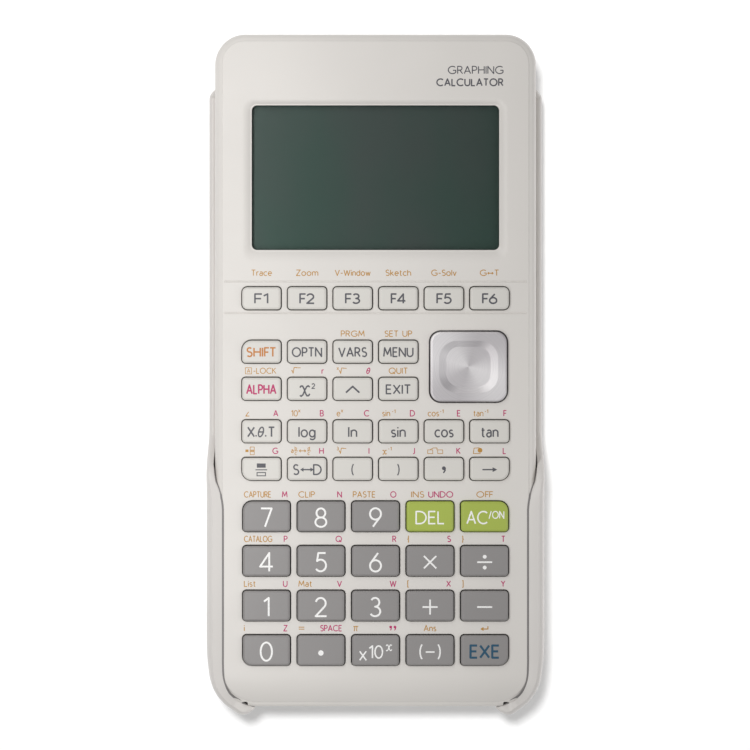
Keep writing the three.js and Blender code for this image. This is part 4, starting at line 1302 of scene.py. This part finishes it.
def spline(points, spacing):
    """Evenly spaced points on a Catmull-Rom curve."""
    fine = []
    padded = [points[0]] + list(points) + [points[-1]]
    for i in range(1, len(padded) - 2):
        p0, p1, p2, p3 = (Vector(p) for p in padded[i - 1 : i + 3])
        for t in (step / 20 for step in range(20)):
            bend = (2 * p0 - 5 * p1 + 4 * p2 - p3) * t * t + (3 * p1 - p0 - 3 * p2 + p3) * t**3
            fine.append(0.5 * ((2 * p1) + (p2 - p0) * t + bend))
    fine.append(Vector(points[-1]))
    out, walked, target = [fine[0]], 0.0, spacing
    for a, b in zip(fine, fine[1:]):
        walked += (b - a).length
        if walked >= target:
            out.append(b)
            target += spacing
    return out


def case_path():
    """Stations from the hook's tip to the middle of the far end: outer point, inward direction, reach."""
    stations = []
    for x, y, inner_x, inner_y in spline(HOOK, 0.6):
        inward = Vector((inner_x - x, inner_y - y))
        stations.append((Vector((x, y)), inward.normalized(), inward.length))
    y = HOOK[-1][1]
    while y < CASE_FAR - FAR_RADIUS - 0.5:
        dense = -37 < y < -7 or y > 64
        y = min(y + (0.75 if dense else 1.7), CASE_FAR - FAR_RADIUS)
        stations.append((Vector((CASE_W, y)), Vector((-1, 0)), max(CASE_WALL, along(REACH_SIDE, y))))
    centre = Vector((CASE_W - FAR_RADIUS, CASE_FAR - FAR_RADIUS))
    for step in range(1, 31):
        outward = disc(Vector((0, 0)), 1, 120)[step]
        stations.append((centre + outward * FAR_RADIUS, -outward, CASE_WALL))
    x = CASE_W - FAR_RADIUS
    while x > 0.5:
        x = max(0.0, x - 3.0)
        stations.append((Vector((x, CASE_FAR)), Vector((0, -1)), CASE_WALL))
    return stations


def body_cover_level(p):
    """Height of the front shell's surface under a point, for the lip of an arm to clear."""
    x, y = abs(p.x), p.y
    inset = min(HALF_W - x, y + HALF_L)
    if x > NEAR_CORNER.x and y < NEAR_CORNER.y:
        inset = BOTTOM_RADIUS - (Vector((x, y)) - NEAR_CORNER).length
    t = max(0.0, min(1.0, inset / lerp(CREASE, CREASE_NEAR, near_share(y))))
    table = [*reversed(SHOULDER), (1.0, 0.0)]
    depth = next(lerp(da, db, (t - a) / (b - a)) for (a, da), (b, db) in zip(table, table[1:]) if t <= b)
    return FACE - roll(y) - depth * lerp(1.0, NEAR_DEPTH, near_share(y))


def wall_thickness(p, normal):
    """The case wall's thickness, thinner where it turns the corners of the body."""
    if p.y > CASE_FAR - FAR_RADIUS:
        thick = (p.x - BODY_CLEAR) / max(0.05, -normal.x) if p.x > BODY_CLEAR + 0.3 else 0.0
        return min(CASE_WALL, max(thick, lerp(0.45, 1.25, smooth((p.y - 74.6) / 3.0))))
    if p.y < NEAR_CORNER.y:
        return max(0.3, min(CASE_WALL, (p - NEAR_CORNER).length - BOTTOM_RADIUS - 0.35))
    return CASE_WALL


def wall_height(p):
    """The case's height: low at the far end, higher along the body, highest on the arms and hooks."""
    if p.y > 60:
        return lerp(WALL_TOP, 3.0, smooth((p.y - 72.0) / 5.5))
    height = lerp(ARM_TOP, WALL_TOP, smooth((p.y + 28.5) / 12.5))
    if p.y < -72:
        height -= 0.9 * roll(p.y + 1.8) + 1.6 * smooth((36.5 - p.x) / 4.5)
    return height


def case_section(p, normal, reach):
    """The case wall's section at p: distances in and heights, from the bottom round the outside.

    Also the lip's reach, the height of its underside and how fully it is formed.
    """
    thick, height = wall_thickness(p, normal), wall_height(p)
    reach = max(reach, thick) if p.y < -23 else thick
    lip = smooth((reach - thick) / 1.6)

    # The bottom edge and the outside, which leans in a little near the top.
    low = min(3.0, 0.45 * height) / 3.0
    bottom = ((1.5, 0.02), (0.95, 0.1), (0.52, 0.36), (0.22, 0.85), (0.05, 1.75), (0.0, 3.0))
    points = [(u, z * low) for u, z in bottom]
    rise = min(lerp(2.0, 4.5, lip), 0.45 * height)
    start = height - rise

    def lean_in(z):
        return 0.28 * max(0.0, (z - 12.0) / 10.0) ** 2

    points += [(lean_in(z), z) for z in (lerp(3.0 * low, start, f) for f in (0.3, 0.65, 1.0))]
    # Over the crest and down the lip.
    crest = lerp(0.5, 0.44, lip) * reach
    for a in map(math.radians, (15, 32, 50, 68, 90)):
        points.append((lerp(lean_in(start), crest, 1 - math.cos(a)), start + rise * math.sin(a)))
    drop = lerp(min(0.3, thick * 0.3), 0.86, lip)
    for f in (0.4, 0.75, 0.94):
        points.append((lerp(crest, reach, f), height - drop * f ** lerp(1.5, 1.15, lip)))
    # The underside, clear of the body and never rising on its way out.
    edge = height - drop
    under = []
    for f in (0.0, 0.15, 0.35, 0.6, 0.82, 1.0):
        u = lerp(reach, thick, f)
        z = edge - lerp(0.3, 0.06, lip) - 0.25 * f
        if lip > 0.02:
            z = min(z, body_cover_level(p + normal * u) + 0.16, *(z for _, z in under[-1:]))
        under.append((u, z))
    points.append((reach, max(edge - 0.12, (edge + under[0][1]) / 2)))
    points += under
    # Down the inside and round to the floor.
    inner_top = under[-1][1]
    foot = 1.78 * min(1.0, low + 0.001)
    stop = min(5.4, inner_top - 0.05)
    points.append((thick, lerp(stop, inner_top, 0.5)))
    limit = lerp(1.9, 5.4, smooth((p.x - 33.0) / 6.0)) if p.y < -80 else 5.4
    for share, u in ((1.0, 0.0), (0.5, 0.5), (0.2, 1.35), (0.03, 2.6), (0.0, 3.45)):
        points.append((min(thick + u, limit - 0.02 * (1 - share)), lerp(foot, stop, share)))
    points.append((min(5.4, limit), 0.02))
    return points, reach, under[0][1], lip


def lip_shade_section(p, normal, reach, under):
    """A dark strip under the lip that shows a little past the lip's edge: painted shade for the shadowed
    gap between lip and body.
    """
    inner = p + normal * reach
    hooked = smooth((-79.0 - inner.y) / 4.0)
    shows = reach + lerp(0.34, 0.22, hooked)
    shown = body_cover_level(p + normal * shows) + 0.12 * hooked
    low, high = under - 0.1, under + 0.05
    outer = ((shows - 0.04, shown - 0.05), (shows, shown + 0.02), (shows - 0.04, max(high, shown + 0.08)))
    return ((reach - 0.7, low), *outer, (reach - 0.7, high))


def slide_case():
    sections, edges = [], []
    stations = case_path()

    def stood(p, normal, section):
        return [(p.x + normal.x * u, p.y + normal.y * u, z) for u, z in section]

    for p, normal, wanted in stations:
        section, reach, under, formed = case_section(p, normal, wanted)
        sections.append(stood(p, normal, section))
        # Where the lip is formed, a section of the dark strip of painted shade under its edge.
        if formed > 0.04 or (p + normal * reach).y < -86:
            edges.append(stood(p, normal, lip_shade_section(p, normal, reach, under)))
    # Each side's strip of painted shade under the lip, as one piece.
    for side, name in ((1, "lip_shade_strip_right"), (-1, "lip_shade_strip_left")):
        shade_strip = Shape()
        shade_strip.solid([[(side * x, y, z) for x, y, z in loop] for loop in edges])
        shade_strip.put(name, LIP_SHADE_STRIP, "slide_case", "case_shell")
    # Two smaller sections round off the hook's tip, and the mirror image makes the other side.
    tip = sections[0]
    middle = sum((Vector(q) for q in tip), Vector()) / len(tip)
    ahead = (stations[0][0] - stations[1][0]).normalized()
    for share, forward in ((0.97, 0.12), (0.86, 0.2)):
        step = Vector((*(ahead * forward), 0))
        sections.insert(0, [tuple(middle.lerp(Vector(q), share) + step) for q in tip])
    mirrored = [[(-x, y, z) for x, y, z in s] for s in reversed(sections[:-1])]
    shape = Shape()
    made = shape.tube(sections + mirrored)
    shape.face(made[0])
    shape.face(made[-1])
    # The floor, whose edges run into the feet of the walls.
    inset, corner, floor_top = 4.9, 1.8, 1.8
    half, far = CASE_W - inset, CASE_FAR - inset
    right = [(34.0, -86.0), (35.2, -85.3), (36.9, -83.6), (38.4, -80.8), (half, -76.0)]
    for a in map(math.radians, range(0, 91, 15)):
        right.append((half + corner * (math.cos(a) - 1), far + corner * (math.sin(a) - 1)))
    plan = right + [(-x, y) for x, y in reversed(right)]

    def pulled(amount):
        return [(x * (1 - amount / 50), y + amount if y < 0 else y - amount) for x, y in plan]

    shape.solid(slab(pulled, 0, floor_top, 0.3))
    shape.put("case_tray", CASE_SHELL, "slide_case", "case_shell", "slide_case", sharp=40)


# ---------------------------------------------------------------- inner parts

SOCKET_FRONT, SOCKET_BACK = HALF_L - 0.5, HALF_L - 5.5


def socket(name, material, *stations):
    """A cup along y: from its back round its front to the blind end of its hole."""
    shape = Shape()
    shape.tube([at_y(plan, y) for plan, y in stations])
    for plan, y in (stations[0], stations[-1]):
        shape.face(shape.ring(at_y(plan, y)))
    shape.put(name, material, "calculator_body", "board")


def sockets():
    front, back = SOCKET_FRONT, SOCKET_BACK
    outer, inner = usb_plan(0.0), usb_plan(-0.35)
    socket("usb_shell", METAL, (outer, back), (outer, front), (inner, front), (inner, back + 0.5))
    shape = Shape()
    tongue = rounded(USB_X - 2.6, USB_X + 2.6, 13.6, 14.5, 0.15, 2)
    shape.solid([at_y(tongue, y) for y in (back + 0.4, front - 0.9)])
    shape.put("usb_tongue", DARK_PLASTIC, "calculator_body", "board")
    wide, lead, bore = (jack_plan(radius) for radius in (JACK_RADIUS, 1.6, 1.35))
    ends = ((lead, front), (bore, front - 0.3), (bore, back + 0.5))
    socket("jack_shell", DARK_PLASTIC, (wide, back), (wide, front), *ends)


BOARD_BOTTOM, BOARD_TOP = 16.2, 17.1
# Chips: middle x and y, half the side, height.
CHIPS = ((-14, 30, 7, 1.4), (12, 34, 5, 1.2), (2, 12, 2, 1.6))


def circuit_board():
    """The board, with a tab at its far end for the sockets, and its chips."""
    low, _ = box_mm("circuit_board")
    tab_half, tab_end = 20.0, HALF_L - 3.0
    plan = rounded(low.x, -low.x, low.y, -low.y, 2.0, 4)
    tab = [(tab_half, -low.y), (tab_half, tab_end - 1), (tab_half - 1, tab_end)]
    plan[10:10] = tab + [(-x, y) for x, y in reversed(tab)]

    def pulled(inset):
        return [(x * (1 - inset / 40), y * (1 - inset / 80)) for x, y in plan]

    shape = Shape()
    shape.solid(slab(pulled, BOARD_BOTTOM, BOARD_TOP, 0.1))
    shape.put("board_sheet", BOARD, "calculator_body", "board", "circuit_board")
    shape = Shape()
    for x, y, half, height in CHIPS:
        end = BOARD_BOTTOM - height
        small, full = block(x, y, half - 0.25, half - 0.25, 0.2, 3), block(x, y, half, half, 0.3, 3)
        shape.solid([lift(small, end), lift(full, end + 0.25), lift(full, BOARD_BOTTOM)])
    shape.put("board_chips", DARK_PLASTIC, "calculator_body", "board")


def battery_contacts():
    """A bent leaf at the far end of each cell and a coil at its near end."""
    leaves, coils = Shape(), Shape()
    half_width, half_thick = 3.0, 0.15
    bend = ((1.9, 16.1), (1.9, 14.6), (0.4, 11.6), (0.35, 10.4), (1.2, 8.4))
    turns, per_turn, wire = 2.75, 20, 0.25
    for number in range(1, 5):
        low, high = box_mm(f"battery_{number}")
        middle = (low + high) / 2
        sections = []
        for away, z in bend:
            corners = ((-1, -1), (1, -1), (1, 1), (-1, 1))
            y = high.y + away
            sections.append([(middle.x + half_width * i, y + half_thick * j, z) for i, j in corners])
        leaves.solid(sections)
        rings = []
        for step in range(int(turns * per_turn) + 1):
            share = step / (turns * per_turn)
            angle = math.tau * turns * share
            out = Vector((math.cos(angle), 0, math.sin(angle)))
            centre = Vector((middle.x, low.y - lerp(0.3, 1.9, share), middle.z))
            centre += out * lerp(1.9, 3.7, share)
            along_y = Vector((0, wire, 0))
            around = [math.tau * k / 8 for k in range(8)]
            rings.append([centre + out * wire * math.cos(a) + along_y * math.sin(a) for a in around])
        coils.solid(rings)
    leaves.put("contact_leaves", METAL, "calculator_body", "board")
    coils.put("contact_coils", METAL, "calculator_body", "board")


def dress_cad_nodes():
    """Procedural finishes for the CAD nodes that stay in view inside the body."""
    finishes = {"key_mat": (RUBBER, "mat_rubber"), "cursor_pad_carrier": (DARK_PLASTIC, "carrier")}
    finishes.update({f"battery_{n}": (SLEEVE, "cell") for n in range(1, 5)})
    for name, (material, slot) in finishes.items():
        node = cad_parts[name]
        node.data.materials.clear()
        node.data.materials.append(material)


# ---------------------------------------------------------------- stage


def softbox(name, floor, place_mm, length, width, power, aim, floor_only=False):
    """A rectangular lamp that lights the floor only, or everything but the floor."""
    light = bpy.data.lights.new(name, "AREA")
    light.shape = "RECTANGLE"
    light.size, light.size_y = length * MM, width * MM
    light.energy = power
    made = bpy.data.objects.new(name, light)
    made.location = Vector(place_mm) * MM
    made.visible_camera = False
    linking = made.light_linking
    linking.receiver_collection = bpy.data.collections.new(name + "_lights")
    linking.receiver_collection.objects.link(floor)
    linked = linking.receiver_collection.collection_objects[0]
    linked.light_linking.link_state = "INCLUDE" if floor_only else "EXCLUDE"
    direction = Vector(aim) * MM - made.location
    made.rotation_mode = "QUATERNION"
    made.rotation_quaternion = direction.to_track_quat("-Z", "Y")
    bpy.context.scene.collection.objects.link(made)


def stage():
    shape = Shape()
    half_size = 1500
    plan = block(0, 0, half_size, half_size, 200)
    shape.solid([lift(plan, -4.0), lift(plan, 0.0)])
    n = Nodes("pale_floor")
    tone = n.mix(n.remap(n.noise(90, 2.0), 0, 1), (0.9, 0.9, 0.9), (0.93, 0.93, 0.93))
    roughness = n.remap(n.noise(20), 0.7, 0.85)
    glow = {"Emission_Color": (1, 1, 1, 1), "Emission_Strength": 0.12}
    floor = shape.make("floor", n.finish(Base_Color=tone, Roughness=roughness, **glow))

    scene = bpy.context.scene
    scene.world = bpy.data.worlds.new("studio")
    scene.world.use_nodes = True
    background = scene.world.node_tree.nodes["Background"].inputs
    background["Color"].default_value = (1, 1, 1, 1)
    background["Strength"].default_value = 0.42
    softbox("softbox_key", floor, (-60, 32, 128), 330, 34, 0.15, (-15, 32, 15))
    softbox("softbox_fill", floor, (230, -40, 170), 160, 160, 0.15, (0, 0, 15))
    softbox("softbox_floor", floor, (-60, 130, 600), 80, 80, 2.7, (0, 0, 0), floor_only=True)

    # The camera looks straight down from over the display, and its lens is shifted to the middle.
    camera = bpy.data.cameras.new("camera")
    distance, frame_width = 450.0, 195.0
    camera.sensor_width = 36
    camera.lens = 36 * distance / frame_width
    camera.clip_start = 0.01
    eye = Vector((0.0, 17.0, FACE + distance))
    middle = Vector((-0.13, -1.0, FACE))
    camera.shift_x = (middle.x - eye.x) / frame_width
    camera.shift_y = (middle.y - eye.y) / frame_width
    made = bpy.data.objects.new("camera", camera)
    made.location = eye * MM
    scene.collection.objects.link(made)
    scene.camera = made
    scene.view_settings.view_transform = "Standard"


front_housing()
rear_housing()
battery_cover()
screws()
slide_case()
for key_name in KEYS:
    key_cap(key_name)
key_legends()
face_labels()
cursor_pad()
display()
sockets()
circuit_board()
battery_contacts()
dress_cad_nodes()
stage()
